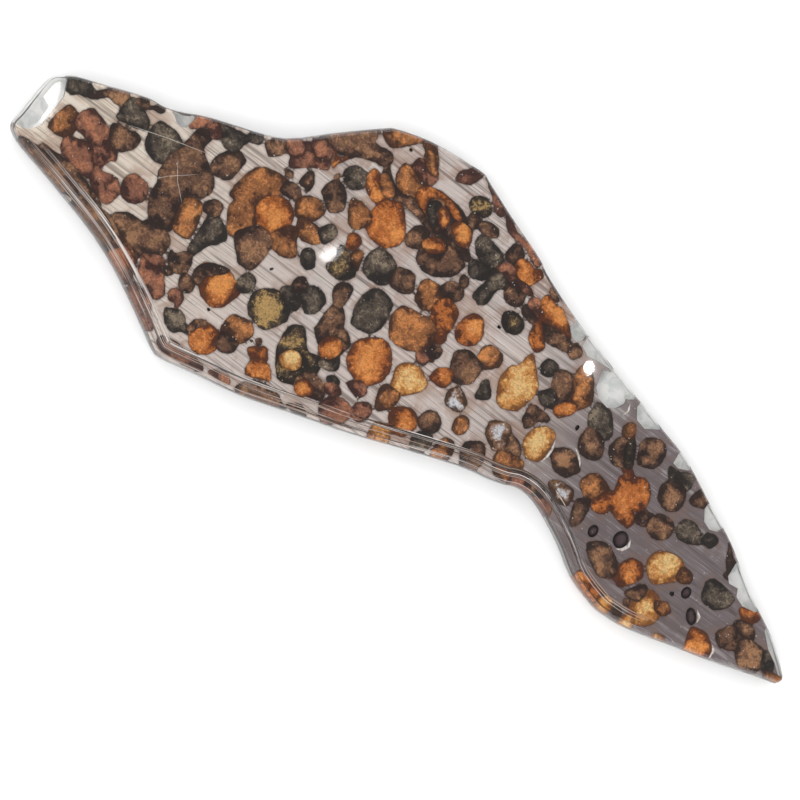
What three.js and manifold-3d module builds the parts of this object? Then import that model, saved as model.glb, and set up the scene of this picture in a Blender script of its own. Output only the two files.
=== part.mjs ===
// Pallasite meteorite slice: olivine crystals in an iron-nickel plate, sealed in clear resin.
// The slice lies flat. Millimetres, +Z up, X along the slice, origin under the middle of its box.
import * as THREE from 'three';
import { mergeVertices } from 'three/addons/utils/BufferGeometryUtils.js';
import Module from 'manifold-3d';

const wasm = await Module();
wasm.setup();

// Thicknesses, from the underside of the resin up
const totalThickness = 4.6;
const middleHeight = totalThickness / 2;
const gap = 0.3;
const resinOverFace = 0.55;
const coreBottom = resinOverFace + gap;
const coreTop = totalThickness - coreBottom;
const coreThickness = coreTop - coreBottom;

// The resin's rounded rim, and how far the core's edge lies inside the resin's edge
const rimRounding = 1.2;
const rimSteps = 4;
const coreInset = 1.05;

// Neighbours in a cluster of crystals are joined by this overlap. The gap around a crystal is
// small, so that the thin veins of metal stay in one piece.
const joinOverlap = 0.06;
const crystalGap = 0.15;

// Outlines are drawn on a sheet whose origin lies this far from the middle of the slice
const sheetShiftY = 0.5;

// The resin's outline on the sheet, clockwise from the blunt end: x, y, x, y and so on
const resinOutline = [
  -72.25, -1.5, -70.5, -0.2, -66, 1.5, -60, 3.75, -56, 4.5, -50, 7.25, -43, 9.75, -40, 11,
  -37.5, 12.75, -32.5, 17.5, -27.5, 22, -25.5, 23.25, -20, 24.9, -13, 25.75, -10.5, 25.85,
  -9, 25.25, -3, 23, 4, 20.6, 7, 19.1, 15, 16.25, 25, 13.5, 35, 11, 41.5, 9.25, 48.5, 6,
  55, 3, 60, -0.25, 63, -2, 68.5, -4.75, 73.25, -8.25, 74.25, -9.5, 73.9, -10.4, 71, -11.25,
  63, -13.75, 56.5, -15.5, 49, -17.5, 45, -17.9, 42.5, -17.75, 37.5, -16.25, 32.5, -13.25,
  27.5, -10.9, 24.5, -10.05, 22, -10.15, 20, -11, 17.5, -11.75, 13, -12.75, 4, -15.9,
  -4.5, -19, -11, -21, -21.5, -24.25, -28.5, -25.65, -34.5, -26.9, -36.6, -26.7, -40, -24.75,
  -48, -20.5, -55, -17.75, -63.5, -15.5, -71, -13.75, -73.6, -12.6, -74.25, -11.6, -74, -9.5,
  -73.75, -4.5, -73.4, -2.6,
];

// Places at the core's edge where the metal is chipped away and only resin is left
const edgeChips = [
  [-78, 0, -71.5, -1, -70.2, -4, -70.5, -9.5, -72, -11.4, -78, -12],
  [-55.8, 6, -55.3, 4.2, -53.7, 3, -52.4, 3.4, -52, 5.2, -52.2, 8],
  [17.1, 17, 17.5, 13.5, 19, 12.7, 20.5, 13, 23, 13.2, 25.4, 12.6, 25.6, 15],
  [25.8, 13.6, 26.3, 11.2, 28.2, 11.1, 29.4, 12, 29.4, 15],
  [29.9, 15, 30.1, 11, 31.2, 9.4, 33, 9, 34.4, 9.9, 35.4, 10.5, 36, 15],
  [39.5, 12, 39.9, 7.4, 41, 7.2, 42.3, 7.8, 43.2, 8.4, 44, 12],
  [48, 9, 48.2, 4.6, 49.3, 3, 50.7, 2.5, 52, 3, 52.6, 4.1, 56, 6],
  [57.2, 2, 57.4, -1.6, 58.2, -2.4, 59.8, -2.2, 60.4, -3.4, 62, -4, 64.2, -3.6, 66, -2, 62, 3],
  [66.6, -2, 67.2, -5, 69.4, -7, 71.6, -8.2, 73, -9.3, 78, -9, 74, -3],
];

// Colours of the crystal kinds
const kindColours = {
  charcoal: 0x564c44,
  umber: 0x685042,
  russet: 0x806050,
  sienna: 0x885e42,
  amber: 0xa66a40,
  honey: 0xbc8856,
  olive: 0x68543e,
  fogged: 0x9c806c,
};

// Every grain: the kind of the grain and its outline on the sheet. Grains of one entry are grown
// together and are one solid.
const grains = {
  left_end: [
    ['sienna', -66.1, -5.3, -65.9, -7.4, -66.4, -8.7, -67.6, -9.2, -69, -9.2, -69.7, -8.7, -69, -4.7,
      -67.1, -4.7],
    ['russet', -65.9, -2.9, -64.7, -2.9, -61.6, -3.9, -60, -5.4, -59, -5.7, -58.2, -7, -59.1, -7.7, -59.6,
      -9.9, -60.7, -9.7, -62.2, -7.9, -64, -7, -66.1, -6.6, -66.8, -4.7],
    ['russet', -66.5, -8.6, -65.3, -8, -62.6, -7.4, -60.7, -9.7, -59.9, -11.6, -62.9, -11.7, -66, -10.7],
    ['umber', -61.7, -2.7, -58.5, -1.9, -57.1, -2.1, -56.9, -3.3, -57.6, -4.7, -58.8, -5.7, -60.2, -5.5,
      -61.3, -4.4],
    ['russet', -60.3, -9.5, -59, -9.6, -56.8, -9.1, -55.9, -9.5, -55, -10.4, -55, -11.9, -55.6, -13.2,
      -57.8, -13.1, -59.8, -11.5],
    ['umber', -68.8, -11.7, -66.5, -11.5, -63, -11.6, -60, -12.3, -57.6, -13, -56.2, -13.8, -58, -14.1,
      -61.5, -13.8, -65, -13.3, -68, -12.7],
  ],
  round_russet: [
    ['russet', -54.8, -7.1, -53.4, -6.8, -52, -7.2, -51.3, -8.4, -51.4, -9.7, -52.4, -10.8, -54, -10.9,
      -55.2, -9.9, -55.5, -8.3],
  ],
  left_shoulder: [
    ['charcoal', -71.7, -1.6, -70.2, -0.5, -68.8, 0, -67.3, -0.3, -67.3, -1.8, -68.6, -2.2, -69.6, -3,
      -70.5, -3, -71.3, -2.4],
    ['umber', -67.5, -1.8, -66.9, -0.6, -65, 1.3, -63.2, 2.2, -61.9, 1.9, -61.9, 0.3, -63.6, -0.1, -64.8,
      0, -66.4, -1.6],
    ['charcoal', -62, 1.9, -60.5, 2.2, -58, 1.2, -57.1, 0.2, -57.2, -0.7, -60.3, -1.5, -62, -1.5],
  ],
  dark_mass: [
    ['charcoal', -56.3, 1.7, -54.6, 2.1, -53, 2, -51.6, 1.3, -50.6, 0, -51.2, -2.5, -53.2, -3.5, -55.6,
      -2.7, -56.6, -0.5],
    ['umber', -50, 5.1, -48.9, 5.3, -48.2, 4.4, -48.2, 2.4, -44.8, 0.2, -43.8, -1.2, -43.6, -2.6, -44.4,
      -4, -46, -4.5, -45.8, -7, -45, -9.8, -46, -11.5, -48.6, -11.4, -50.2, -9.4, -51, -7.6, -51.1, -5.9,
      -51.9, -4.3, -51.9, -1.5, -51.3, 0.8, -50.9, 4.3],
    ['sienna', -46.2, -4.8, -45, -4.4, -43.4, -4.6, -42.4, -7.2, -42.2, -9.9, -44.1, -10.3, -45.3, -9.8,
      -46, -7.8],
    ['umber', -53.7, -13.7, -52.9, -12.8, -51.5, -12.2, -49.5, -12, -48.6, -11.1, -44.8, -11.4, -44, -14,
      -45.2, -15.4, -46.6, -16.3, -47.2, -17.6, -51.3, -16, -53, -14.9],
    ['umber', -42.6, 5.3, -41.9, 4.6, -42.4, 1.2, -44, 0.4, -45.2, 0.2, -46, 1, -46, 2.7, -44.7, 5, -44,
      5.5],
    ['umber', -57.6, -15, -57.2, -14.2, -54.2, -14.3, -52, -15.3, -51, -16, -51.2, -16.7, -53.5, -16.5],
    ['sienna', -51, -15.6, -47.6, -16.8, -46.6, -17.4, -46.9, -18, -48.5, -18.1, -50.6, -17.1],
    ['charcoal', -48.6, 6.9, -46.8, 5.3, -45.5, 4.6, -44.2, 5, -43.7, 6.6, -43.7, 8.2],
    ['charcoal', -43.9, 7.5, -42, 8.1, -41.7, 9, -42.4, 9.6, -44, 8.5],
  ],
  plum_edge: [
    ['umber', -40.1, 8, -39.3, 7.8, -38.3, 8.8, -37.7, 10.3, -38.3, 11.3, -40, 10.4, -41.2, 9],
    ['russet', -31, 12, -31.8, 14.3, -32.8, 14.9, -34, 14.6, -35.9, 12.9, -38.4, 11.3, -37.8, 10, -36.9,
      9.6, -35.9, 8.2, -33.4, 10.1, -31.2, 11.2],
    ['umber', -34.6, 15.2, -33, 14.3, -29.4, 14.9, -28.4, 15.7, -25.8, 16.8, -24.6, 16.9, -23.6, 17.8,
      -23.7, 18.9, -24.6, 19.5, -27.2, 19.2, -27.7, 20.3, -28.6, 20.9],
  ],
  amber_block: [
    ['amber', -25.2, 15.8, -24.5, 16, -23.6, 15.3, -22, 15.2, -21, 14.6, -20.5, 13, -21.2, 12, -23.2, 12,
      -25.1, 13.4, -25.4, 14.6],
    ['amber', -20.4, 13.5, -18.1, 13.9, -15.3, 10.5, -15.2, 9.2, -15.9, 7.9, -16.8, 7.1, -19, 6.9, -20,
      7.2, -21, 8, -21.6, 9.6, -21.4, 12.4],
    ['sienna', -25.3, 10, -24, 10.5, -22.9, 10.5, -21.4, 10, -20.9, 8.4, -21.7, 7, -22.4, 6.6, -23.4, 6.7,
      -24.1, 7.4],
  ],
  grey_round: [
    ['charcoal', -28.7, 12.6, -28.3, 14, -27.1, 14.8, -25.8, 14.6, -25, 13.5, -25, 12.4, -25.9, 11.4,
      -27.3, 11.3],
  ],
  grey_diamond: [
    ['umber', -29.3, 10.5, -27.8, 11, -26.2, 9.8, -25.4, 7.9, -26.9, 6.4, -29, 7.6, -29.8, 8.4],
  ],
  flower: [
    ['sienna', -34.8, 6.4, -34.7, 4.3, -36.2, 1.8, -36.4, 0, -35, -2, -37.3, -5.7, -39.8, -2.8, -40, -1,
      -41.1, -0.4, -40.7, 3.6, -39.7, 5.3, -38.3, 6.1],
    ['amber', -31.1, 2.5, -30.7, 0.8, -31.3, -0.9, -32.6, -1.8, -34.4, -1.9, -35.8, -1.2, -36.6, 0.5,
      -36.3, 2, -35.4, 3.2, -33.9, 3.9, -32.3, 3.5],
    ['umber', -35.1, 6.1, -33.5, 6.6, -32.6, 6.3, -31.7, 5.5, -32.3, 4.5, -34.9, 4.4],
    ['sienna', -32.1, 5.3, -31.2, 6.3, -30.2, 6.8, -29, 6.8, -27.9, 6.2, -27.5, 5.4, -28.4, 3.2, -29.7, 2.7,
      -31, 2.9, -31.8, 3.9],
    ['sienna', -30.2, 2.9, -28.8, 3.5, -27.2, 3.5, -25.8, 2.9, -25.3, 1.9, -26, 1, -27.4, 0.4, -28.4, 0.5,
      -29.5, 1.1],
    ['charcoal', -25.7, 5, -24.6, 5, -23.9, 4.3, -24.1, 3.2, -24.9, 2, -25.7, 2.2, -26.7, 3.2],
    ['sienna', -32.3, -1.7, -30.9, 0.8, -30, 1.3, -29.1, 1.1, -28.7, 0, -27.3, -1.9, -27.6, -2.8, -28.6,
      -3.4, -29.8, -3.6, -31.2, -3.1],
    ['umber', -34.1, -1.8, -32.6, -1.9, -31.3, -3, -31.1, -5, -31.4, -7.8, -32.2, -8.3, -33.2, -8.4, -34.2,
      -8, -36.7, -5.3, -36.2, -3.6, -35, -2.2],
  ],
  amber_heart: [
    ['amber', -30.9, -12.4, -31.7, -14.8, -32.8, -15.9, -34, -16.2, -36.2, -15.3, -38.1, -13.4, -38.2,
      -12.4, -37.9, -11.2, -35, -10.2, -33.6, -10.3, -32.2, -11, -31.1, -11.6],
    ['charcoal', -30.9, -8.5, -29.9, -9, -29.7, -10.3, -30.3, -11.4, -31.3, -11.8, -32.1, -11.3, -32.3,
      -10.1, -31.9, -8.8],
  ],
  olive_round: [
    ['olive', -23.4, -8.7, -22.7, -10.2, -22.7, -11.4, -24.3, -13.8, -25.3, -14.2, -26.5, -14, -27.9,
      -13.6, -28.8, -12.6, -29.3, -11, -29, -9.8, -28.1, -9, -27, -8.3, -25.6, -8],
    ['charcoal', -26.2, -7.5, -25.8, -6.8, -25, -6.3, -23.6, -6, -22.6, -6.8, -22.2, -7.7, -22.3, -8.8,
      -23, -9.2, -25.2, -8.6, -26, -8.1],
    ['umber', -25.2, -4.8, -24.4, -4, -23.7, -4.2, -22.9, -4.9, -22.8, -6.2, -24, -6.6, -25, -6.2],
    ['charcoal', -22.2, -4.1, -20.9, -4, -19.8, -4.5, -19.3, -5.5, -19.4, -6.9, -20, -7.8, -21, -8.3,
      -22.9, -6.8, -23, -5],
  ],
  grey_wedge: [
    ['charcoal', -40.9, -4.3, -39, -5, -38, -5.7, -37.5, -6.6, -38.4, -8.3, -39.1, -8.8, -40.2, -11.6,
      -41.2, -11.6, -41.6, -9.3, -41.7, -5.2],
    ['umber', -40.9, -2.8, -40.6, -3.9, -41, -4.8, -42, -5.2, -42.9, -5, -43.3, -4.1, -42.8, -3.1, -41.9,
      -2.6],
    ['umber', -43.4, -13, -42.4, -12.9, -41.4, -11.7, -40.2, -11.6, -39.4, -13.8, -39.5, -14.7, -40.4,
      -15.2, -42.4, -15],
    ['umber', -39.9, -14.7, -38.7, -14.4, -37.5, -14.9, -37.1, -16, -37.6, -16.8, -38.6, -17, -39.4, -16.4],
  ],
  lower_amber: [
    ['charcoal', -38.9, -20.7, -37.9, -19.9, -36.9, -19.6, -35.7, -19.9, -35, -20.7, -33.9, -21.2, -34.1,
      -21.8, -35, -22.1, -35.7, -22.8, -36.7, -22.8, -37.9, -22.2],
    ['amber', -34.1, -20.9, -33.8, -19.6, -32.8, -18.6, -31.6, -18.4, -30.2, -18.5, -29.3, -19.3, -28.9,
      -20.6, -29.3, -21.9, -30.2, -22.8, -31.4, -23.2, -32.6, -22.8],
    ['sienna', -26.2, -15, -25.7, -15.9, -25.8, -17.1, -26.4, -18, -27.8, -18.6, -29.5, -18.6, -30.2,
      -17.6, -30.1, -15.5, -29, -14.8, -27.2, -14.6],
    ['umber', -29.8, -18.3, -26.9, -18.1, -26.5, -19, -26.6, -19.8, -27.4, -20.5, -28.4, -20.8, -29.4,
      -20.3],
  ],
  rim_russet: [
    ['russet', -46.3, -16, -43.3, -15.9, -41, -17.9, -40.4, -19, -41, -20.4, -43.6, -20, -45.6, -18.4],
  ],
  amber_pair: [
    ['amber', -25, -17.9, -23.6, -16.5, -22.6, -16.2, -21.7, -17.3, -21.5, -18.3, -22.9, -18.9, -24, -18.8],
    ['amber', -23.6, -19.7, -23.3, -18.6, -21.9, -18, -20.5, -18.4, -19.4, -19.8, -20.2, -20.4, -22.8,
      -21.4, -23.4, -20.7],
  ],
  big_gold_dark: [
    ['olive', -20.5, -10.4, -19.5, -10.4, -17.4, -12.6, -16, -12.6, -14.9, -12.2, -14.3, -13.1, -14.2,
      -15.3, -15.3, -16, -15.8, -17.9, -17.2, -18.7, -18.1, -19, -19.1, -18.5, -20.9, -16, -21.6, -14.3,
      -21.8, -12.1, -21.4, -11],
    ['umber', -11, -17.4, -11.9, -18, -14.3, -18.7, -15.2, -18.7, -16.1, -17.7, -15.9, -16.2, -14.9, -15,
      -12.6, -15.3, -11.7, -15.9],
    ['charcoal', -12.9, -10.6, -12.1, -11.4, -11.8, -12.2, -12.4, -13.1, -14.5, -13.6, -14.8, -12.6, -14.4,
      -11.1],
    ['umber', -17.2, -3.9, -15.5, -5.3, -14.8, -6.6, -13.8, -6.9, -12.9, -7.6, -12.4, -8.5, -13, -11.3,
      -14, -12.2, -15, -12, -18.1, -9.7, -18.4, -8.6, -18.4, -6, -17.9, -4.4],
    ['umber', -18.1, -0.7, -17.2, -0.9, -16.9, -1.6, -16.9, -4.2, -17.9, -4.7, -19.2, -3.4, -19.5, -1.9,
      -19, -1.1],
  ],
  gold_oval: [
    ['amber', -8.8, -4.4, -7.8, -4.4, -6.7, -5, -5.2, -7.2, -5, -8.6, -5.3, -10, -7.1, -11.9, -9.8, -11.6,
      -11, -10.7, -11.8, -9.5, -12, -7.4, -11.4, -6.2, -10.2, -5.1],
    ['russet', -9.4, -12.9, -8, -11.6, -7, -11.6, -6.1, -12.5, -6.2, -13.5, -6.8, -14, -9.1, -13.4],
  ],
  gold_lower_middle: [
    ['honey', 0.7, -5.7, 0.9, -6.7, 0.4, -7.9, -1.6, -9.8, -3.3, -9.8, -4.4, -6.9, -4.1, -5.7, -3.3, -4.9,
      -2.1, -4.5, -1, -4.6],
    ['sienna', -2, -9.4, -1.4, -9.9, -1.2, -11.2, -1.8, -12.6, -2.9, -13.6, -3.8, -13.2, -4.6, -11, -4.3,
      -9.7],
    ['amber', -1.5, -12.4, -0.4, -11.1, 0.8, -10.4, 2.3, -10.6, 3.3, -11.9, 3.1, -13.6, 2, -14.7, 0.2, -14.7],
    ['umber', 3, -10.1, 3.6, -8.9, 5, -8.5, 6.2, -9.3, 6.4, -10.7, 5.4, -11.9, 3.9, -11.9, 2.9, -11.2],
    ['charcoal', 3.9, -13.1, 4.5, -12.1, 5.7, -11.7, 6.7, -12.3, 6.9, -13.5, 6.3, -15, 4.7, -15.3, 3.9, -14.4],
    ['honey', -2.2, -15.5, -1.4, -14.8, -0.1, -14.4, 0.9, -15.4, 1, -16.8, -0.4, -17.6, -2, -17.6],
  ],
  lower_bank: [
    ['sienna', 7.5, -12.4, 8, -11, 9.3, -10.5, 10.2, -11.2, 10.5, -12.6, 9.7, -14, 8, -14.6],
  ],
  rim_plum: [
    ['russet', -4, -13.9, -3.6, -15, -3.9, -16.3, -4.9, -16.9, -6.4, -16.4, -6.4, -14.8, -5.5, -13.9, -4.8,
      -13.7],
    ['russet', -6.1, -15.8, -5.9, -16.6, -6.4, -18.3, -8, -19.7, -9.6, -19.9, -11, -18.3, -10.7, -16.9,
      -10, -16, -8.6, -15.5],
  ],
  fawn_cluster: [
    ['sienna', -19.7, 4.4, -18.9, 4.4, -18.2, 2.2, -18.3, 1.6, -20.4, 1.9, -20.3, 3.8],
    ['olive', -22.6, 3.3, -21, 3.3, -20, 2.4, -18.6, 1.9, -18.1, 0.7, -18.7, -0.3, -20.3, -1.2, -22.5,
      -0.6, -22, 1],
  ],
  moss_pair: [
    ['charcoal', -17.8, 6.1, -16.7, 6.7, -15.3, 6.8, -14.3, 6.4, -13.2, 5.5, -12.9, 4.3, -13.1, 2.9, -14,
      2.1, -15.3, 1.8, -16.7, 1.9, -17.6, 2.6, -18.3, 4.4],
    ['umber', -13.4, 5.7, -12.2, 6.4, -11, 6.6, -10.1, 6.1, -9.2, 4.4, -9.8, 3.6, -10.9, 3, -13.2, 3.3],
  ],
  middle_russet: [
    ['sienna', -8.4, 7.2, -5.9, 7.6, -4.8, 6.9, -4.6, 5.7, -4.8, 4.1, -5.3, 3.4, -6.4, 3.1, -7.6, 3.2,
      -8.4, 3.8, -9, 6.2],
    ['umber', -6.2, 7.3, -5.5, 9, -4.8, 9.4, -3.4, 9.4, -2.6, 9, -2.3, 8.1, -2.8, 7.2, -4.1, 6.5, -5.5,
      6.8],
    ['amber', -4.5, 6.6, -3.3, 6.8, -2.1, 6.3, -1.3, 5.5, -1, 2.5, -2.2, 1.7, -3.6, 1.6, -5.1, 3.6, -5.2,
      5.3],
    ['sienna', -9.6, 0.8, -9, 1.7, -6.2, 2.2, -3.4, 2.2, -0.4, -2, -1.2, -3, -3.2, -2.7, -5.6, -3.7, -7.8,
      -3.5, -9.3, -1.7, -9.7, -0.5],
    ['russet', -3.2, -3.1, -2.9, -2.4, -1.6, -2.2, -0.9, -2.8, -1.2, -3.8, -2.4, -4],
  ],
  moss_oval: [
    ['charcoal', -12.4, 1.5, -11.2, 1.1, -10.4, 0.3, -10, -2.5, -10.2, -3.7, -10.7, -4.7, -11.6, -5.2, -14,
      -5.4, -14.7, -4.4, -15.1, -3.1, -15.3, -1.7, -15, 0.1, -14.6, 0.9, -13.8, 1.4],
  ],
  crest_lens: [
    ['sienna', -27.2, 21.6, -26.6, 20.7, -25.6, 20.3, -24.6, 20.4, -21.5, 23.8, -22.3, 24.6, -24.5, 24],
  ],
  crest_cluster: [
    ['sienna', -21.2, 24.6, -19.8, 24.8, -17.3, 22.4, -17.4, 21.7, -19.4, 21.5, -20.3, 23, -21.2, 23.6],
    ['russet', -20.6, 21, -20, 21.7, -17.8, 22, -16.7, 21.4, -16.2, 20.7, -16.2, 19.8, -16.7, 18.8, -17.8,
      18.2, -20.2, 19],
    ['sienna', -21.9, 19.1, -21.2, 19.6, -18, 18.6, -17.2, 17.6, -17.2, 16, -19.3, 15.4, -21.2, 16.3,
      -21.8, 17.4],
    ['amber', -17.3, 18.3, -16, 19, -14.6, 18.8, -14.2, 17.4, -14.4, 16.2, -14, 15.1, -14.8, 15, -17.2,
      16.1, -17.5, 17],
    ['umber', -15.3, 18.9, -14.3, 19.3, -11.2, 19.2, -7.8, 17.8, -6.9, 17.1, -6.4, 14.9, -7.2, 14.3, -8.6,
      14.1, -12.9, 14.4, -14.2, 15, -14.8, 16.3],
    ['umber', -23.7, 17.5, -21.8, 16.3, -19.5, 15.5, -17, 16.1, -14.9, 15.1, -12.9, 14.5, -8, 14.2, -6, 14.6,
      -4.8, 13.6, -5.5, 13, -7.1, 13.5, -12.2, 13.2, -14.8, 13.9, -17.9, 14.2, -20.2, 14, -22, 15.4, -23.6,
      15.7],
  ],
  glitter_lens: [
    ['umber', -13.3, 13.4, -12.2, 12.9, -12, 10.4, -13.8, 9.5, -14.6, 9.9, -15, 10.8, -14.9, 12.2, -14.3,
      13.1],
    ['umber', -12.3, 10.2, -11.8, 11.9, -8.8, 13.4, -7.1, 13.4, -5.7, 12.9, -4.9, 12.2, -5.6, 10, -7.4,
      8.5, -8.6, 8, -9.8, 7.9, -10.9, 8.2, -11.7, 8.8],
  ],
  crest_round: [
    ['olive', -10.1, 21.2, -9.7, 22.2, -8.6, 22.7, -7.6, 22.6, -6.7, 22, -6.3, 21.2, -6.7, 20.3, -7.6,
      19.9, -8.8, 19.9, -9.7, 20.3],
  ],
  crest_tip: [
    ['russet', -10.7, 25.6, -11.4, 23.2, -13.1, 22.2, -13.8, 22.2, -14, 23.4, -13.3, 24.5, -12.2, 25.4],
  ],
  forest_mass: [
    ['charcoal', -5.5, 17.8, -4.7, 18.1, -1.7, 17.5, -0.5, 16.8, 0, 15.8, -0.2, 14.6, -1.2, 13.9, -2.6, 14,
      -4, 14.8, -5.2, 15.6, -5.8, 17],
    ['charcoal', -4.6, 13.9, -2.6, 14.4, -1, 14.3, -0.9, 12.7, -2.1, 11.9, -3.3, 11.6, -4.2, 12.4],
    ['charcoal', 2.6, 14.8, 2.8, 13.4, 1.4, 12.6, 1.2, 9.8, 0.4, 8.9, -0.5, 9.1, -1.3, 9.7, -0.9, 12.2,
      -1.1, 14.7, 0.8, 15],
    ['umber', 2.4, 14.6, 3.3, 15.1, 4.3, 15.1, 5.2, 14.6, 5.9, 13.2, 5.5, 12.3, 4.6, 11.8, 3.6, 11.8, 2.7,
      12.4, 2.2, 13.5],
  ],
  crest_amber: [
    ['umber', 0.4, 20.2, 1.3, 19.8, 1.9, 19, 1.9, 17.4, 1.4, 16.7, -0.5, 17.4, -0.8, 18.6, -0.4, 19.8],
    ['amber', 6.1, 18, 5, 15.9, 3.8, 15.6, 2.8, 15.8, 1.9, 16.4, 1.5, 17.2, 1.6, 18.4, 2.2, 18.8, 3.3,
      18.9, 4.3, 18.6, 5.2, 19, 5.9, 18.7],
  ],
  sienna_ridge: [
    ['umber', 6.2, 13, 6.8, 13.6, 7.8, 13.4, 9.6, 12.6, 9.7, 11.5, 7.2, 11.6, 6.4, 12.2],
    ['amber', 8.1, 16.2, 8.6, 16.7, 9.7, 16.6, 10.3, 16, 11.2, 16.2, 12.1, 15.8, 14.8, 13.9, 14.9, 12.9,
      11, 12.6, 10.3, 12, 9.4, 12.2, 8.2, 15],
    ['umber', 10, 12.1, 11, 12.9, 14.7, 13.2, 15.9, 12.7, 16.6, 13.4, 17.5, 12.4, 16.4, 11.4, 12.8, 10.6,
      11.5, 10.8],
    ['amber', 10.2, 12.4, 12.4, 10, 12.6, 9, 12, 8.3, 11.2, 8.5, 9.6, 9.6, 9.4, 11.8],
  ],
  olive_ring: [
    ['olive', 4.3, 10.1, 4.8, 10.9, 5.9, 11.3, 7.1, 11.2, 7.9, 10.7, 8.2, 9.8, 8, 8.9, 7.2, 8.3, 6, 8.2, 5,
      8.8],
  ],
  gold_bottle: [
    ['honey', 12.1, 7.6, 15.1, 4.6, 15.6, 3.6, 15.6, 1.9, 15, -0.5, 14, -1.3, 12.8, -1.7, 11.7, -1.5, 11,
      -0.9, 9.8, 1.6, 9.8, 3.1, 10.2, 4.4, 11, 5.1, 11.4, 7.1],
  ],
  dusky_row: [
    ['charcoal', 16.3, 8.6, 16.6, 7.4, 16.3, 6.8, 15.5, 6.2, 14.7, 6.2, 14, 6.8, 13.9, 7.9, 14.3, 8.7,
      15.2, 8.9],
    ['umber', 16.2, 7.9, 17.1, 8.7, 18.1, 8.9, 18.8, 8.7, 20.7, 6.6, 21, 5.7, 20.5, 4.8, 18.3, 4.3, 17.2,
      5.4],
    ['charcoal', 16, 3.6, 17.3, 5.3, 18.8, 4.8, 19.5, 3.8, 19.3, 2.9, 18.6, 2.5, 17.2, 2.5, 16.4, 2.9],
    ['sienna', 19.8, 11.2, 21, 11, 22.2, 10, 23.7, 7.4, 22.9, 5.3, 21.8, 4.5, 20.5, 5.2, 20.2, 7, 19.4,
      8.1, 19.1, 10.5],
    ['amber', 22.4, 5, 22.2, 3.9, 21.6, 3.1, 20.9, 2.4, 20, 2.4, 19.4, 3.2, 20, 4.4, 20.7, 5.1, 21.7, 5.4],
  ],
  umber_tooth: [
    ['umber', 19.3, 1.6, 19.8, 0.8, 18.7, 0, 17.7, -2, 16.9, -1.8, 16.2, -1, 16.2, 1.2, 17.1, 1.7],
  ],
  gold_tear: [
    ['honey', 21.5, 0.1, 22.3, -0.8, 22.5, -3.8, 22.1, -5.1, 21.2, -5.6, 20.2, -5.6, 19.1, -4.9, 18.4,
      -3.4, 18.6, -1.7, 19.3, -0.6, 20.2, 0.1],
  ],
  amber_egg: [
    ['amber', 1.4, 7.6, 2.2, 7.4, 3, 6.6, 3.6, 5.6, 3.7, 4.6, 3.4, 3.6, 2.8, 2.9, 1.8, 2.4, 0.6, 2.4, -0.2,
      3.3, -0.5, 4.3, -0.4, 5.4, 0, 6.6, 0.6, 7.3],
  ],
  smoky_group: [
    ['sienna', 7.8, 4.9, 8.4, 4.3, 8.6, 3.2, 8.2, 2.5, 6.5, 1.1, 5.2, 1.5, 4.8, 3.6, 5.2, 4.5, 6, 5.1],
    ['umber', 5.9, 1.9, 6.6, 1, 6.5, -1.2, 5.9, -2.1, 4.8, -2.9, 3.4, -3, 2.1, -1, 1.6, 0.5, 2, 1.4, 2.9,
      2.1, 3.8, 2.3],
    ['amber', 2.8, -1.8, 3.7, -2.6, 3.4, -4.7, 1, -4.9, 0.6, -4.1, 0.9, -2.9, 1.7, -2.2],
  ],
  dark_drop: [
    ['charcoal', 8.4, 0.3, 9, 0, 10.1, -1.4, 9.9, -2.2, 8.8, -3, 8.1, -2.8, 7.8, -1, 7.9, 0],
  ],
  fogged_left: [
    ['fogged', 4.8, -3.8, 5.5, -3.3, 7.4, -4.2, 7.8, -4.8, 7.4, -6.4, 5.3, -6.6, 4.5, -6, 4.3, -4.7],
  ],
  dark_tooth: [
    ['umber', 13.8, -8.2, 15, -10, 14.8, -12.2, 12.6, -12.7, 11.6, -11.6, 11, -9.7, 12.9, -8.1],
  ],
  fogged_cluster: [
    ['fogged', 12.8, -4.1, 14.7, -3.2, 15.5, -3.4, 16.6, -4.4, 17, -6, 16.7, -7.2, 15.5, -7.8, 14.8, -7.7,
      13.1, -6.7, 12.4, -5.2],
    ['umber', 16.2, -4.4, 17.2, -4.2, 18.8, -5, 19.4, -6.1, 19.2, -6.9, 17.6, -7.1, 16.7, -6.4],
    ['sienna', 16, -8.3, 16.4, -7.2, 19, -6.5, 20.2, -6.7, 20.8, -7.6, 20.2, -10, 19.1, -10.7, 17.9, -10.8,
      16.9, -10.2],
    ['russet', 28.2, -9.8, 28.2, -11, 24, -10.1, 22, -10.1, 20, -10.6, 20.3, -8.8, 21, -7.8, 22.1, -7.8,
      24.7, -9, 27.4, -9],
  ],
  opal_eye: [
    ['umber', 23.1, -2.3, 23.7, -1.5, 25.5, -0.6, 28.3, -2.2, 27.6, -4, 27, -4.5, 25.9, -4.7, 24.9, -4.6,
      24, -3.9, 23.3, -3.2],
  ],
  fogged_right: [
    ['fogged', 25.6, -6.9, 25.9, -5.9, 26.9, -5.4, 29.1, -5.3, 29.7, -6, 30, -7.2, 29.8, -7.9, 28.8, -8.3,
      27.6, -8.2],
  ],
  amber_fork: [
    ['sienna', 30.5, -1.3, 31.6, -1, 33.9, -1.9, 33.8, -3.3, 32.9, -5.5, 31.6, -5.3, 29.8, -4.1, 29.5,
      -3.3, 29.8, -2.1],
    ['amber', 33.7, 3, 34.3, 3.3, 36, 2.2, 37.9, 2.8, 39.7, 1.3, 40.3, -0.9, 40, -4.6, 39.1, -5, 37.9, -5,
      35.9, -4.5, 35.7, -5.2, 34.7, -5.8, 33.6, -5.9, 32.9, -5, 33.8, -2.5, 34.7, -1.5, 34.2, 0.5, 34.4,
      1.3, 33.8, 2],
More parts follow.
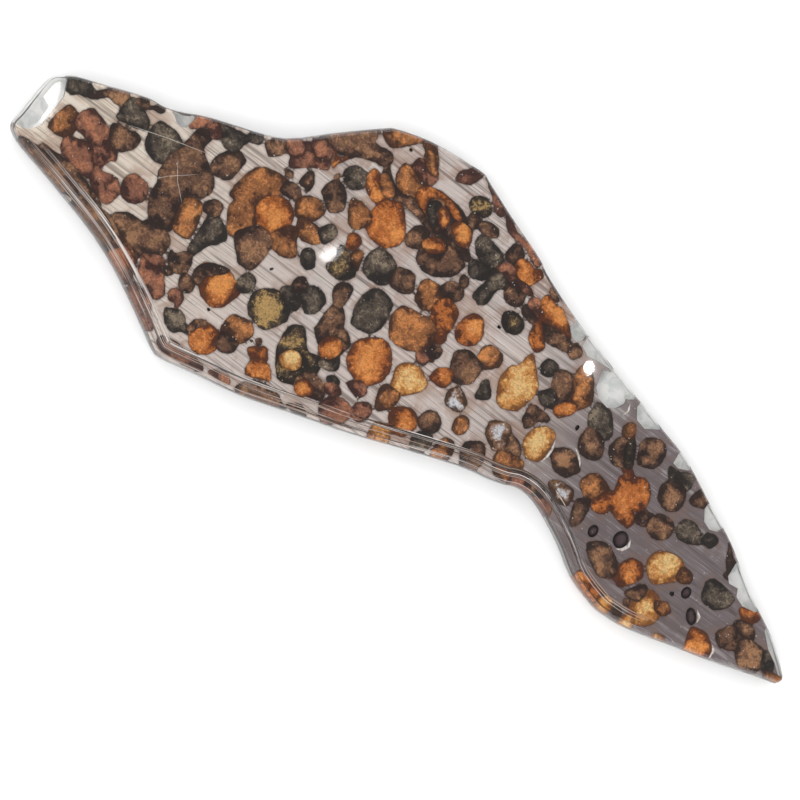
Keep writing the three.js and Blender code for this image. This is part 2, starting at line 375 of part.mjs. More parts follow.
    ['umber', 31.2, 6.1, 32.1, 5.8, 34.1, 2.7, 33.3, 2, 32.4, 1.7, 31.4, 2, 30.2, 3.3, 30.4, 5.1],
    ['olive', 32.7, 6.8, 34, 5, 35, 2.8, 34, 2.4, 33, 3.6, 32, 5.5],
    ['umber', 32.6, -5, 33.2, -7.8, 33.1, -8.9, 32.6, -9.8, 31.8, -9.7, 30.6, -6.6, 31.4, -5.4],
    ['umber', 42.3, -1, 42.4, -2.4, 41.9, -3.2, 40.9, -3.5, 39.9, -3.3, 39.8, -2.2, 40.4, -1.4, 41.2, -1],
    ['umber', 45.4, -0.2, 46.1, -2, 45.5, -3.1, 44.5, -3.8, 43.3, -3.7, 42.4, -3.1, 42, -1.6, 42.4, -0.6,
      43, -0.1],
  ],
  dark_leaf: [
    ['charcoal', 24.8, 7.9, 26.9, 8, 27.8, 7.3, 29.1, 5.8, 29.4, 5, 29.1, 4, 28.1, 3.6, 26, 3.6, 24.6, 5.6,
      24.4, 7.2],
    ['umber', 26, 4.1, 28.4, 3.9, 29.3, 2.9, 29.8, 1.9, 29.8, 1, 29.2, 0.2, 28.1, -0.2, 26.9, -0.1, 26,
      0.6, 25.5, 1.6, 25.4, 3.2],
  ],
  amber_drum: [
    ['umber', 37.3, 8.9, 38, 8.1, 38.2, 7.2, 37.9, 5.1, 35.4, 4.1, 34, 6.3, 33.9, 7.2, 34.3, 8.1, 35.2,
      8.7, 36.2, 9.1],
  ],
  amber_target: [
    ['umber', 41.4, 5.4, 42.6, 5.8, 43.8, 5.4, 44.6, 4.4, 44.9, 3.4, 44.8, 2.2, 44.3, 1.3, 43.4, 0.9, 42.1,
      1.1, 41, 1.8, 40.4, 3.2, 40.6, 4.3],
    ['charcoal', 39.9, 6.8, 41.6, 6.9, 42.4, 7.4, 43.6, 7.6, 44.3, 7, 44.2, 5.4, 42.5, 5.5, 41, 5.1, 40,
      5.9],
  ],
  moss_disc: [
    ['charcoal', 46.2, 0.5, 46.4, 1.3, 47.2, 1.7, 48.6, 1.8, 50.8, 0.8, 50.9, 0, 49.7, -1, 48.4, -1.5,
      47.2, -1.4, 46.4, -0.6],
    ['charcoal', 52.7, 2.1, 53, 1.3, 52.6, 0.4, 51.9, 0.1, 50.6, 0.2, 50.5, 1.1, 50.8, 1.9, 51.9, 2.3],
  ],
  edge_lens: [
    ['umber', 45.9, 6.6, 46.7, 6.8, 47.7, 6.1, 48.1, 5.5, 47.9, 4.5, 46.1, 4, 45.4, 4.5],
  ],
  gold_cushion: [
    ['honey', 50.9, -4.8, 51, -6.4, 50.7, -7.4, 49, -9.1, 47.9, -9.5, 46.2, -8.5, 45.4, -6.9, 45.8, -5.3,
      46.6, -4.6, 49.1, -3.9, 50.2, -4.1],
    ['sienna', 50.5, -4.8, 52.3, -4.7, 52.9, -5.3, 52.9, -6.2, 51.4, -6.9, 50.6, -6.6],
  ],
  forest_disc: [
    ['charcoal', 55.1, -4.8, 55.4, -3.6, 56.4, -3.2, 59.9, -3.6, 60.4, -4.5, 60.2, -5.5, 59.6, -6.3, 58.7,
      -7, 57.6, -7.2, 56.4, -7.1, 55.6, -6.4],
  ],
  tip_cluster: [
    ['amber', 62, -4.3, 64.9, -3.4, 65.4, -4, 65.1, -5.1, 64.2, -5.7, 63, -5.6],
    ['umber', 62.5, -6.7, 63.2, -5.8, 64.5, -5.5, 65.6, -5.8, 66.3, -6.6, 66.5, -7.6, 65.9, -8.5, 63.3,
      -8.3],
    ['umber', 61, -9.7, 62.5, -7.5, 65.4, -8, 65.7, -9.3, 65.2, -10.3, 64, -10.9, 62.8, -11.3, 61.8, -10.8],
    ['umber', 64.8, -8.6, 66.2, -7.5, 68.8, -7.5, 70, -8.3, 70.2, -9.5, 69.9, -10.6, 69, -11.6, 67.6,
      -11.8, 66.4, -11.5, 65.4, -10.7],
    ['charcoal', 68.9, -7.6, 69.7, -7.3, 70.7, -7.7, 71.6, -8.5, 72, -9.6, 71.4, -10.2, 70.6, -10.2, 69.6,
      -9.3],
  ],
  amber_wedge: [
    ['amber', 57.2, -11.7, 57.7, -11.1, 59, -10.8, 60.2, -11, 61.8, -12.2, 62, -13.1, 61.7, -14, 58.7, -15,
      57.8, -13.8],
  ],
  gold_sheaf: [
    ['honey', 49, -10.5, 50.2, -10.8, 51.2, -11.8, 52, -13.6, 51.3, -15.3, 49.4, -16.4, 48.5, -16.2, 47,
      -14.2, 47.5, -11.7, 48.1, -10.9],
    ['sienna', 50, -11.5, 51.6, -10.7, 52.5, -10.9, 53, -11.6, 52.7, -12.4, 51.9, -12.9, 50.7, -12.6],
    ['umber', 47.8, -10.6, 48.2, -11.7, 47.8, -13.3, 45.6, -13.6, 45.3, -12.9, 46.8, -10.9],
    ['honey', 48.9, -15.7, 49.3, -16.6, 49.3, -17.6, 47.1, -17.9, 47.2, -16.6, 47.8, -15.4],
  ],
  amber_bean: [
    ['amber', 45.3, -8.3, 46, -9.2, 46.2, -10.2, 44.3, -12.9, 43.3, -12.9, 42, -12.3, 42.3, -9.7, 43.1,
      -8.4, 44.3, -8],
    ['umber', 36.1, -10.7, 36.8, -9.7, 37.9, -9.1, 39.3, -9, 41.6, -10.4, 42.4, -11.5, 42.2, -12.8, 41,
      -13.5, 39.8, -13.5, 37.2, -12.1],
  ],
};

// Turns a flat list of sheet coordinates into points of the part
function drawn(numbers) {
  const points = [];
  for (let i = 0; i < numbers.length; i += 2) {
    points.push(new THREE.Vector2(numbers[i], numbers[i + 1] + sheetShiftY));
  }
  return THREE.ShapeUtils.isClockWise(points) ? points.reverse() : points;
}

// Distance from a point to a closed outline
function distanceTo(outline, point) {
  let nearest = Infinity;
  outline.forEach((start, i) => {
    const along = outline[(i + 1) % outline.length].clone().sub(start);
    const share = THREE.MathUtils.clamp(point.clone().sub(start).dot(along) / along.lengthSq(), 0, 1);
    nearest = Math.min(nearest, point.distanceTo(start.clone().addScaledVector(along, share)));
  });
  return nearest;
}

// Moves a counter-clockwise outline outwards, or inwards with a negative distance
function offsetAll(outline, distance) {
  return outline.map((point, i) => {
    const before = outline[(i + outline.length - 1) % outline.length];
    const after = outline[(i + 1) % outline.length];
    const tangent = after.clone().sub(before).normalize();
    return point.clone().add(new THREE.Vector2(tangent.y, -tangent.x).multiplyScalar(distance));
  });
}

// An inset outline in which points that crossed over a sharp corner sit on their nearest sound point
function insetRing(outline, distance) {
  const moved = offsetAll(outline, -distance);
  const sound = moved.map((point) => distanceTo(outline, point) > distance * 0.97);
  return moved.map((point, i) => {
    for (let step = 0; step < outline.length; step += 1) {
      const back = (i + outline.length - step) % outline.length;
      const ahead = (i + step) % outline.length;
      if (sound[back]) return moved[back].clone();
      if (sound[ahead]) return moved[ahead].clone();
    }
    return point;
  });
}

function withoutRepeats(ring) {
  return ring.filter((point, i) => point.distanceTo(ring[(i + ring.length - 1) % ring.length]) > 1e-6);
}

// A closed body through rings of equal length, each at its own height, from the bottom up
function loft(rings, heights) {
  const positions = [];
  const put = (point, height) => positions.push(point.x, point.y, height);
  for (let level = 0; level + 1 < rings.length; level += 1) {
    const low = rings[level];
    const high = rings[level + 1];
    low.forEach((corner, i) => {
      const next = (i + 1) % low.length;
      put(corner, heights[level]);
      put(low[next], heights[level]);
      put(high[next], heights[level + 1]);
      put(corner, heights[level]);
      put(high[next], heights[level + 1]);
      put(high[i], heights[level + 1]);
    });
  }
  [0, rings.length - 1].forEach((level) => {
    const cap = withoutRepeats(rings[level]);
    THREE.ShapeUtils.triangulateShape(cap, []).forEach(([a, b, c]) => {
      const order = level === 0 ? [c, b, a] : [a, b, c];
      order.forEach((corner) => put(cap[corner], heights[level]));
    });
  });
  const geometry = new THREE.BufferGeometry();
  geometry.setAttribute('position', new THREE.Float32BufferAttribute(positions, 3));
  return geometry;
}

// A solid for joining and cutting, from a closed geometry
function solid(geometry) {
  const bare = geometry.clone();
  bare.deleteAttribute('normal');
  bare.deleteAttribute('uv');
  const merged = mergeVertices(bare, 1e-4);
  const corners = merged.index.array;
  const kept = [];
  for (let i = 0; i < corners.length; i += 3) {
    const [a, b, c] = [corners[i], corners[i + 1], corners[i + 2]];
    if (a !== b && b !== c && c !== a) kept.push(a, b, c);
  }
  return new wasm.Manifold(new wasm.Mesh({
    numProp: 3,
    vertProperties: new Float32Array(merged.attributes.position.array),
    triVerts: new Uint32Array(kept),
  }));
}

// The largest connected body of a solid, so that slivers cut loose are dropped
function largestBody(body) {
  const mesh = body.getMesh();
  const owner = Array.from({ length: mesh.vertProperties.length / mesh.numProp }, (_, i) => i);
  const rootOf = (i) => {
    let root = i;
    while (owner[root] !== root) root = owner[root];
    return root;
  };
  const triangles = [];
  for (let i = 0; i < mesh.triVerts.length; i += 3) {
    const triangle = Array.from(mesh.triVerts.slice(i, i + 3));
    triangles.push(triangle);
    owner[rootOf(triangle[1])] = rootOf(triangle[0]);
    owner[rootOf(triangle[2])] = rootOf(triangle[0]);
  }
  const counts = new Map();
  triangles.forEach(([a]) => counts.set(rootOf(a), (counts.get(rootOf(a)) ?? 0) + 1));
  const [biggest] = [...counts.entries()].sort((one, other) => other[1] - one[1])[0];
  const geometry = new THREE.BufferGeometry();
  geometry.setAttribute('position', new THREE.BufferAttribute(new Float32Array(mesh.vertProperties), 3));
  geometry.setIndex(triangles.filter(([a]) => rootOf(a) === biggest).flat());
  return geometry;
}

// A crystal's solid, straight through the thin core, or its pocket when it is grown
function grainSolid(numbers, growth) {
  const ring = offsetAll(drawn(numbers), joinOverlap + growth);
  return solid(loft([ring, ring], [coreBottom - growth, coreTop + growth]));
}

function joined(solids) {
  return solids.reduce((sum, next) => sum.add(next));
}

// The resin's edge, the pocket's edge inside it and the core's edge inside that
const outline = drawn(resinOutline);
const pocketRing = withoutRepeats(insetRing(outline, coreInset - gap));
const coreRing = withoutRepeats(insetRing(pocketRing, gap));

// One half of the resin: the flat face and rounded rim, with a pocket for half of the core
function resinHalf(top) {
  const rings = [];
  const heights = [];
  for (let step = 0; step <= rimSteps; step += 1) {
    const angle = (step / rimSteps) * (Math.PI / 2);
    const height = middleHeight * Math.sin(angle);
    rings.push(step === 0 ? outline : insetRing(outline, rimRounding * (1 - Math.cos(angle))));
    heights.push(Math.max(height, gap / 2));
  }
  const pocketDepth = middleHeight - resinOverFace;
  const half = solid(loft(rings, heights)).subtract(solid(loft([pocketRing, pocketRing], [-1, pocketDepth])));
  const geometry = largestBody(half);
  if (top) {
    geometry.translate(0, 0, middleHeight);
    return geometry;
  }
  geometry.rotateX(Math.PI);
  geometry.scale(1, -1, 1);
  geometry.setIndex(Array.from(geometry.index.array).reverse());
  geometry.translate(0, 0, middleHeight);
  return geometry;
}

// The core's plate, chipped at its edge, before the crystals are cut out
function coreSolid() {
  const chips = edgeChips.map((numbers) => {
    const chip = drawn(numbers);
    return solid(loft([chip, chip], [0, totalThickness]));
  });
  return solid(loft([coreRing, coreRing], [coreBottom, coreTop])).subtract(joined(chips));
}

function material(colour, roughness, metalness) {
  return new THREE.MeshStandardMaterial({ color: colour, roughness, metalness });
}

const slice = new THREE.Group();

function addPiece(name, geometry, look) {
  geometry.computeVertexNormals();
  const mesh = new THREE.Mesh(geometry, look);
  mesh.name = name;
  slice.add(mesh);
}

const resinLook = material(0xf2f1ec, 0.05, 0);
resinLook.transparent = true;
resinLook.opacity = 0.35;
addPiece('resin_front', resinHalf(true), resinLook);
addPiece('resin_back', resinHalf(false), resinLook);

// Crystals: each cluster keeps clear of those before it, and its pocket is cut out of the metal
const core = coreSolid();
let metal = core;
let taken = null;
Object.entries(grains).forEach(([place, members]) => {
  let cluster = joined(members.map(([, ...numbers]) => grainSolid(numbers, 0))).intersect(core);
  const pocket = joined(members.map(([, ...numbers]) => grainSolid(numbers, crystalGap)));
  if (taken) cluster = cluster.subtract(taken);
  taken = taken ? taken.add(pocket) : pocket;
  metal = metal.subtract(pocket);
  addPiece(`olivine_${place}`, largestBody(cluster), material(kindColours[members[0][0]], 0.35, 0));
});
addPiece('iron_nickel_matrix', largestBody(metal), material(0xb4aca6, 0.35, 1));

export default slice;
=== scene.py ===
"""Pallasite meteorite slice: olivine crystals in polished iron-nickel, sealed in clear resin."""
import math
import random
from functools import lru_cache

import bpy
import numpy as np
from bpy.props import FloatProperty, FloatVectorProperty, IntProperty, PointerProperty
from mathutils import Matrix, Vector
from mathutils.geometry import delaunay_2d_cdt


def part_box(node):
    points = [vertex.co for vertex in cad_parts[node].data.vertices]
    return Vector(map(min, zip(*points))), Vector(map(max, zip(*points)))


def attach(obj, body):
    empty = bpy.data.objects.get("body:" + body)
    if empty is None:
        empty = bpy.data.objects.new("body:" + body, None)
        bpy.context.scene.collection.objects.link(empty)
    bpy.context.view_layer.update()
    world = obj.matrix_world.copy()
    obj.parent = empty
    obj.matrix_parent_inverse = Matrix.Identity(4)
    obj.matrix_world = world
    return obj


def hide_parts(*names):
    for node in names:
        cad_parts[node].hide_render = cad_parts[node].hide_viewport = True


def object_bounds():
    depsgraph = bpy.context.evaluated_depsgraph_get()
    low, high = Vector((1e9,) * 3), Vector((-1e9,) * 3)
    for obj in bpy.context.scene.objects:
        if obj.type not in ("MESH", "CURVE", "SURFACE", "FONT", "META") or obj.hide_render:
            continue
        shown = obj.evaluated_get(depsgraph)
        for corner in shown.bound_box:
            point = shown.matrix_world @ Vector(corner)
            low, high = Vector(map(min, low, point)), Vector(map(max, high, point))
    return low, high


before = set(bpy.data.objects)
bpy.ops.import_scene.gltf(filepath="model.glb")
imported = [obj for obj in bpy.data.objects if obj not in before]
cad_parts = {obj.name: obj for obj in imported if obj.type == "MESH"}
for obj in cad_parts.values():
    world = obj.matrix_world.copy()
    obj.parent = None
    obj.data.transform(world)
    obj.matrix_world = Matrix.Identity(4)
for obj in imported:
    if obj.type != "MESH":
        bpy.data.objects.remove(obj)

CAD_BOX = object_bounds()

bl_info = {
    "name": "Pallasite slice",
    "version": (1, 0, 0),
    "blender": (4, 5, 0),
    "location": "3D View > Sidebar > Slice",
    "description": "Builds a polished pallasite slice in clear resin",
    "category": "Object",
}

# Everything is drawn in millimetres and made in metres
MM = 0.001
BODY = "root"
METAL_NODE = "iron_nickel_matrix"
RESIN_NODES = ("resin_front", "resin_back")

# How far the drawn sheet's origin lies from the middle of the slice
SHEET_SHIFT = np.array([0.0, 0.5])

# Sizes of the core and the resin's rim, in millimetres
CORE_INSET = 0.3
RIM_ROUNDING = 0.7
RIM_STEPS = 10

# The bevel along the lower rim: its width, its drop, the rounding outside it and the groove inside it
BEVEL_WIDTH = 2.6
BEVEL_DROP = 0.5
BEVEL_ROUNDING = 0.3
BEVEL_FACING = (-0.45, -0.89)
BEVEL_END = 42.0
GROOVE_INSET = 2.15
GROOVE_DEPTH = 0.05
GROOVE_WIDTH = 0.09

# Where the rim turns into the bevel, how softly, and over how many points it is blended
BEVEL_TURN = 0.45
BEVEL_TURN_FADE = 0.35
BEVEL_END_FADE = 6
BEVEL_BLEND = 12

# Insets of the coat's points on the bevel's slope, and beside its crease
SLOPE_INSETS = (1.0, 1.4)
CREASE_WIDTH = 0.1

# Distance between neighbouring points of an outline
OUTLINE_SPACING = 0.4
CRYSTAL_SPACING = 0.25
CRYSTAL_GROWTH = 0.06
FACE_SPACING = 0.5
METAL, CHIP = -1, -2
JAGGED_STEP = 0.5
JAGGED_REACH = 0.05

# Outlines of the crystals of each cluster: kind, then x,y pairs on the drawn sheet
CLUSTERS = {
    "left_end": (
        "sienna -66.1,-5.3 -65.9,-7.4 -66.4,-8.7 -67.6,-9.2 -69,-9.2 -69.7,-8.7 -69,-4.7 -67.1,-4.7",
        "russet -65.9,-2.9 -64.7,-2.9 -61.6,-3.9 -60,-5.4 -59,-5.7 -58.2,-7 -59.1,-7.7 -59.6,-9.9 "
        "-60.7,-9.7 -62.2,-7.9 -64,-7 -66.1,-6.6 -66.8,-4.7",
        "russet -66.5,-8.6 -65.3,-8 -62.6,-7.4 -60.7,-9.7 -59.9,-11.6 -62.9,-11.7 -66,-10.7",
        "umber -61.7,-2.7 -58.5,-1.9 -57.1,-2.1 -56.9,-3.3 -57.6,-4.7 -58.8,-5.7 -60.2,-5.5 -61.3,-4.4",
        "russet -60.3,-9.5 -59,-9.6 -56.8,-9.1 -55.9,-9.5 -55,-10.4 -55,-11.9 -55.6,-13.2 -57.8,-13.1 "
        "-59.8,-11.5",
        "umber -68.8,-11.7 -66.5,-11.5 -63,-11.6 -60,-12.3 -57.6,-13 -56.2,-13.8 -58,-14.1 -61.5,-13.8 "
        "-65,-13.3 -68,-12.7",
    ),
    "round_russet": (
        "russet -54.8,-7.1 -53.4,-6.8 -52,-7.2 -51.3,-8.4 -51.4,-9.7 -52.4,-10.8 -54,-10.9 -55.2,-9.9 "
        "-55.5,-8.3",
    ),
    "left_shoulder": (
        "charcoal -71.7,-1.6 -70.2,-0.5 -68.8,0 -67.3,-0.3 -67.3,-1.8 -68.6,-2.2 -69.6,-3 -70.5,-3 "
        "-71.3,-2.4",
        "umber -67.5,-1.8 -66.9,-0.6 -65,1.3 -63.2,2.2 -61.9,1.9 -61.9,0.3 -63.6,-0.1 -64.8,0 -66.4,-1.6",
        "charcoal -62,1.9 -60.5,2.2 -58,1.2 -57.1,0.2 -57.2,-0.7 -60.3,-1.5 -62,-1.5",
    ),
    "dark_mass": (
        "charcoal -56.3,1.7 -54.6,2.1 -53,2 -51.6,1.3 -50.6,0 -51.2,-2.5 -53.2,-3.5 -55.6,-2.7 -56.6,-0.5",
        "umber -50,5.1 -48.9,5.3 -48.2,4.4 -48.2,2.4 -44.8,0.2 -43.8,-1.2 -43.6,-2.6 -44.4,-4 -46,-4.5 "
        "-45.8,-7 -45,-9.8 -46,-11.5 -48.6,-11.4 -50.2,-9.4 -51,-7.6 -51.1,-5.9 -51.9,-4.3 -51.9,-1.5 "
        "-51.3,0.8 -50.9,4.3",
        "sienna -46.2,-4.8 -45,-4.4 -43.4,-4.6 -42.4,-7.2 -42.2,-9.9 -44.1,-10.3 -45.3,-9.8 -46,-7.8",
        "umber -53.7,-13.7 -52.9,-12.8 -51.5,-12.2 -49.5,-12 -48.6,-11.1 -44.8,-11.4 -44,-14 -45.2,-15.4 "
        "-46.6,-16.3 -47.2,-17.6 -51.3,-16 -53,-14.9",
        "umber -42.6,5.3 -41.9,4.6 -42.4,1.2 -44,0.4 -45.2,0.2 -46,1 -46,2.7 -44.7,5 -44,5.5",
        "umber -57.6,-15 -57.2,-14.2 -54.2,-14.3 -52,-15.3 -51,-16 -51.2,-16.7 -53.5,-16.5",
        "sienna -51,-15.6 -47.6,-16.8 -46.6,-17.4 -46.9,-18 -48.5,-18.1 -50.6,-17.1",
        "charcoal -48.6,6.9 -46.8,5.3 -45.5,4.6 -44.2,5 -43.7,6.6 -43.7,8.2",
        "charcoal -43.9,7.5 -42,8.1 -41.7,9 -42.4,9.6 -44,8.5",
    ),
    "plum_edge": (
        "umber -40.1,8 -39.3,7.8 -38.3,8.8 -37.7,10.3 -38.3,11.3 -40,10.4 -41.2,9",
        "russet -31,12 -31.8,14.3 -32.8,14.9 -34,14.6 -35.9,12.9 -38.4,11.3 -37.8,10 -36.9,9.6 -35.9,8.2 "
        "-33.4,10.1 -31.2,11.2",
        "umber -34.6,15.2 -33,14.3 -29.4,14.9 -28.4,15.7 -25.8,16.8 -24.6,16.9 -23.6,17.8 -23.7,18.9 "
        "-24.6,19.5 -27.2,19.2 -27.7,20.3 -28.6,20.9",
    ),
    "amber_block": (
        "amber -25.2,15.8 -24.5,16 -23.6,15.3 -22,15.2 -21,14.6 -20.5,13 -21.2,12 -23.2,12 -25.1,13.4 "
        "-25.4,14.6",
        "amber -20.4,13.5 -18.1,13.9 -15.3,10.5 -15.2,9.2 -15.9,7.9 -16.8,7.1 -19,6.9 -20,7.2 -21,8 "
        "-21.6,9.6 -21.4,12.4",
        "sienna -25.3,10 -24,10.5 -22.9,10.5 -21.4,10 -20.9,8.4 -21.7,7 -22.4,6.6 -23.4,6.7 -24.1,7.4",
    ),
    "grey_round": (
        "charcoal -28.7,12.6 -28.3,14 -27.1,14.8 -25.8,14.6 -25,13.5 -25,12.4 -25.9,11.4 -27.3,11.3",
    ),
    "grey_diamond": (
        "umber -29.3,10.5 -27.8,11 -26.2,9.8 -25.4,7.9 -26.9,6.4 -29,7.6 -29.8,8.4",
    ),
    "flower": (
        "sienna -34.8,6.4 -34.7,4.3 -36.2,1.8 -36.4,0 -35,-2 -37.3,-5.7 -39.8,-2.8 -40,-1 -41.1,-0.4 "
        "-40.7,3.6 -39.7,5.3 -38.3,6.1",
        "amber -31.1,2.5 -30.7,0.8 -31.3,-0.9 -32.6,-1.8 -34.4,-1.9 -35.8,-1.2 -36.6,0.5 -36.3,2 "
        "-35.4,3.2 -33.9,3.9 -32.3,3.5",
        "umber -35.1,6.1 -33.5,6.6 -32.6,6.3 -31.7,5.5 -32.3,4.5 -34.9,4.4",
        "sienna -32.1,5.3 -31.2,6.3 -30.2,6.8 -29,6.8 -27.9,6.2 -27.5,5.4 -28.4,3.2 -29.7,2.7 -31,2.9 "
        "-31.8,3.9",
        "sienna -30.2,2.9 -28.8,3.5 -27.2,3.5 -25.8,2.9 -25.3,1.9 -26,1 -27.4,0.4 -28.4,0.5 -29.5,1.1",
        "charcoal -25.7,5 -24.6,5 -23.9,4.3 -24.1,3.2 -24.9,2 -25.7,2.2 -26.7,3.2",
        "sienna -32.3,-1.7 -30.9,0.8 -30,1.3 -29.1,1.1 -28.7,0 -27.3,-1.9 -27.6,-2.8 -28.6,-3.4 "
        "-29.8,-3.6 -31.2,-3.1",
        "umber -34.1,-1.8 -32.6,-1.9 -31.3,-3 -31.1,-5 -31.4,-7.8 -32.2,-8.3 -33.2,-8.4 -34.2,-8 "
        "-36.7,-5.3 -36.2,-3.6 -35,-2.2",
    ),
    "amber_heart": (
        "amber -30.9,-12.4 -31.7,-14.8 -32.8,-15.9 -34,-16.2 -36.2,-15.3 -38.1,-13.4 -38.2,-12.4 "
        "-37.9,-11.2 -35,-10.2 -33.6,-10.3 -32.2,-11 -31.1,-11.6",
        "charcoal -30.9,-8.5 -29.9,-9 -29.7,-10.3 -30.3,-11.4 -31.3,-11.8 -32.1,-11.3 -32.3,-10.1 "
        "-31.9,-8.8",
    ),
    "olive_round": (
        "olive -23.4,-8.7 -22.7,-10.2 -22.7,-11.4 -24.3,-13.8 -25.3,-14.2 -26.5,-14 -27.9,-13.6 "
        "-28.8,-12.6 -29.3,-11 -29,-9.8 -28.1,-9 -27,-8.3 -25.6,-8",
        "charcoal -26.2,-7.5 -25.8,-6.8 -25,-6.3 -23.6,-6 -22.6,-6.8 -22.2,-7.7 -22.3,-8.8 -23,-9.2 "
        "-25.2,-8.6 -26,-8.1",
        "umber -25.2,-4.8 -24.4,-4 -23.7,-4.2 -22.9,-4.9 -22.8,-6.2 -24,-6.6 -25,-6.2",
        "charcoal -22.2,-4.1 -20.9,-4 -19.8,-4.5 -19.3,-5.5 -19.4,-6.9 -20,-7.8 -21,-8.3 -22.9,-6.8 "
        "-23,-5",
    ),
    "grey_wedge": (
        "charcoal -40.9,-4.3 -39,-5 -38,-5.7 -37.5,-6.6 -38.4,-8.3 -39.1,-8.8 -40.2,-11.6 -41.2,-11.6 "
        "-41.6,-9.3 -41.7,-5.2",
        "umber -40.9,-2.8 -40.6,-3.9 -41,-4.8 -42,-5.2 -42.9,-5 -43.3,-4.1 -42.8,-3.1 -41.9,-2.6",
        "umber -43.4,-13 -42.4,-12.9 -41.4,-11.7 -40.2,-11.6 -39.4,-13.8 -39.5,-14.7 -40.4,-15.2 "
        "-42.4,-15",
        "umber -39.9,-14.7 -38.7,-14.4 -37.5,-14.9 -37.1,-16 -37.6,-16.8 -38.6,-17 -39.4,-16.4",
    ),
    "lower_amber": (
        "charcoal -38.9,-20.7 -37.9,-19.9 -36.9,-19.6 -35.7,-19.9 -35,-20.7 -33.9,-21.2 -34.1,-21.8 "
        "-35,-22.1 -35.7,-22.8 -36.7,-22.8 -37.9,-22.2",
        "amber -34.1,-20.9 -33.8,-19.6 -32.8,-18.6 -31.6,-18.4 -30.2,-18.5 -29.3,-19.3 -28.9,-20.6 "
        "-29.3,-21.9 -30.2,-22.8 -31.4,-23.2 -32.6,-22.8",
        "sienna -26.2,-15 -25.7,-15.9 -25.8,-17.1 -26.4,-18 -27.8,-18.6 -29.5,-18.6 -30.2,-17.6 "
        "-30.1,-15.5 -29,-14.8 -27.2,-14.6",
        "umber -29.8,-18.3 -26.9,-18.1 -26.5,-19 -26.6,-19.8 -27.4,-20.5 -28.4,-20.8 -29.4,-20.3",
    ),
    "rim_russet": (
        "russet -46.3,-16 -43.3,-15.9 -41,-17.9 -40.4,-19 -41,-20.4 -43.6,-20 -45.6,-18.4",
    ),
    "amber_pair": (
        "amber -25,-17.9 -23.6,-16.5 -22.6,-16.2 -21.7,-17.3 -21.5,-18.3 -22.9,-18.9 -24,-18.8",
        "amber -23.6,-19.7 -23.3,-18.6 -21.9,-18 -20.5,-18.4 -19.4,-19.8 -20.2,-20.4 -22.8,-21.4 "
        "-23.4,-20.7",
    ),
    "big_gold_dark": (
        "olive -20.5,-10.4 -19.5,-10.4 -17.4,-12.6 -16,-12.6 -14.9,-12.2 -14.3,-13.1 -14.2,-15.3 "
        "-15.3,-16 -15.8,-17.9 -17.2,-18.7 -18.1,-19 -19.1,-18.5 -20.9,-16 -21.6,-14.3 -21.8,-12.1 "
        "-21.4,-11",
        "umber -11,-17.4 -11.9,-18 -14.3,-18.7 -15.2,-18.7 -16.1,-17.7 -15.9,-16.2 -14.9,-15 -12.6,-15.3 "
        "-11.7,-15.9",
        "charcoal -12.9,-10.6 -12.1,-11.4 -11.8,-12.2 -12.4,-13.1 -14.5,-13.6 -14.8,-12.6 -14.4,-11.1",
        "umber -17.2,-3.9 -15.5,-5.3 -14.8,-6.6 -13.8,-6.9 -12.9,-7.6 -12.4,-8.5 -13,-11.3 -14,-12.2 "
        "-15,-12 -18.1,-9.7 -18.4,-8.6 -18.4,-6 -17.9,-4.4",
        "umber -18.1,-0.7 -17.2,-0.9 -16.9,-1.6 -16.9,-4.2 -17.9,-4.7 -19.2,-3.4 -19.5,-1.9 -19,-1.1",
    ),
    "gold_oval": (
        "amber -8.8,-4.4 -7.8,-4.4 -6.7,-5 -5.2,-7.2 -5,-8.6 -5.3,-10 -7.1,-11.9 -9.8,-11.6 -11,-10.7 "
        "-11.8,-9.5 -12,-7.4 -11.4,-6.2 -10.2,-5.1",
        "russet -9.4,-12.9 -8,-11.6 -7,-11.6 -6.1,-12.5 -6.2,-13.5 -6.8,-14 -9.1,-13.4",
    ),
    "gold_lower_middle": (
        "honey 0.7,-5.7 0.9,-6.7 0.4,-7.9 -1.6,-9.8 -3.3,-9.8 -4.4,-6.9 -4.1,-5.7 -3.3,-4.9 -2.1,-4.5 "
        "-1,-4.6",
        "sienna -2,-9.4 -1.4,-9.9 -1.2,-11.2 -1.8,-12.6 -2.9,-13.6 -3.8,-13.2 -4.6,-11 -4.3,-9.7",
        "amber -1.5,-12.4 -0.4,-11.1 0.8,-10.4 2.3,-10.6 3.3,-11.9 3.1,-13.6 2,-14.7 0.2,-14.7",
        "umber 3,-10.1 3.6,-8.9 5,-8.5 6.2,-9.3 6.4,-10.7 5.4,-11.9 3.9,-11.9 2.9,-11.2",
        "charcoal 3.9,-13.1 4.5,-12.1 5.7,-11.7 6.7,-12.3 6.9,-13.5 6.3,-15 4.7,-15.3 3.9,-14.4",
        "honey -2.2,-15.5 -1.4,-14.8 -0.1,-14.4 0.9,-15.4 1,-16.8 -0.4,-17.6 -2,-17.6",
    ),
    "lower_bank": (
        "sienna 7.5,-12.4 8,-11 9.3,-10.5 10.2,-11.2 10.5,-12.6 9.7,-14 8,-14.6",
    ),
    "rim_plum": (
        "russet -4,-13.9 -3.6,-15 -3.9,-16.3 -4.9,-16.9 -6.4,-16.4 -6.4,-14.8 -5.5,-13.9 -4.8,-13.7",
        "russet -6.1,-15.8 -5.9,-16.6 -6.4,-18.3 -8,-19.7 -9.6,-19.9 -11,-18.3 -10.7,-16.9 -10,-16 "
        "-8.6,-15.5",
    ),
    "fawn_cluster": (
        "sienna -19.7,4.4 -18.9,4.4 -18.2,2.2 -18.3,1.6 -20.4,1.9 -20.3,3.8",
        "olive -22.6,3.3 -21,3.3 -20,2.4 -18.6,1.9 -18.1,0.7 -18.7,-0.3 -20.3,-1.2 -22.5,-0.6 -22,1",
    ),
    "moss_pair": (
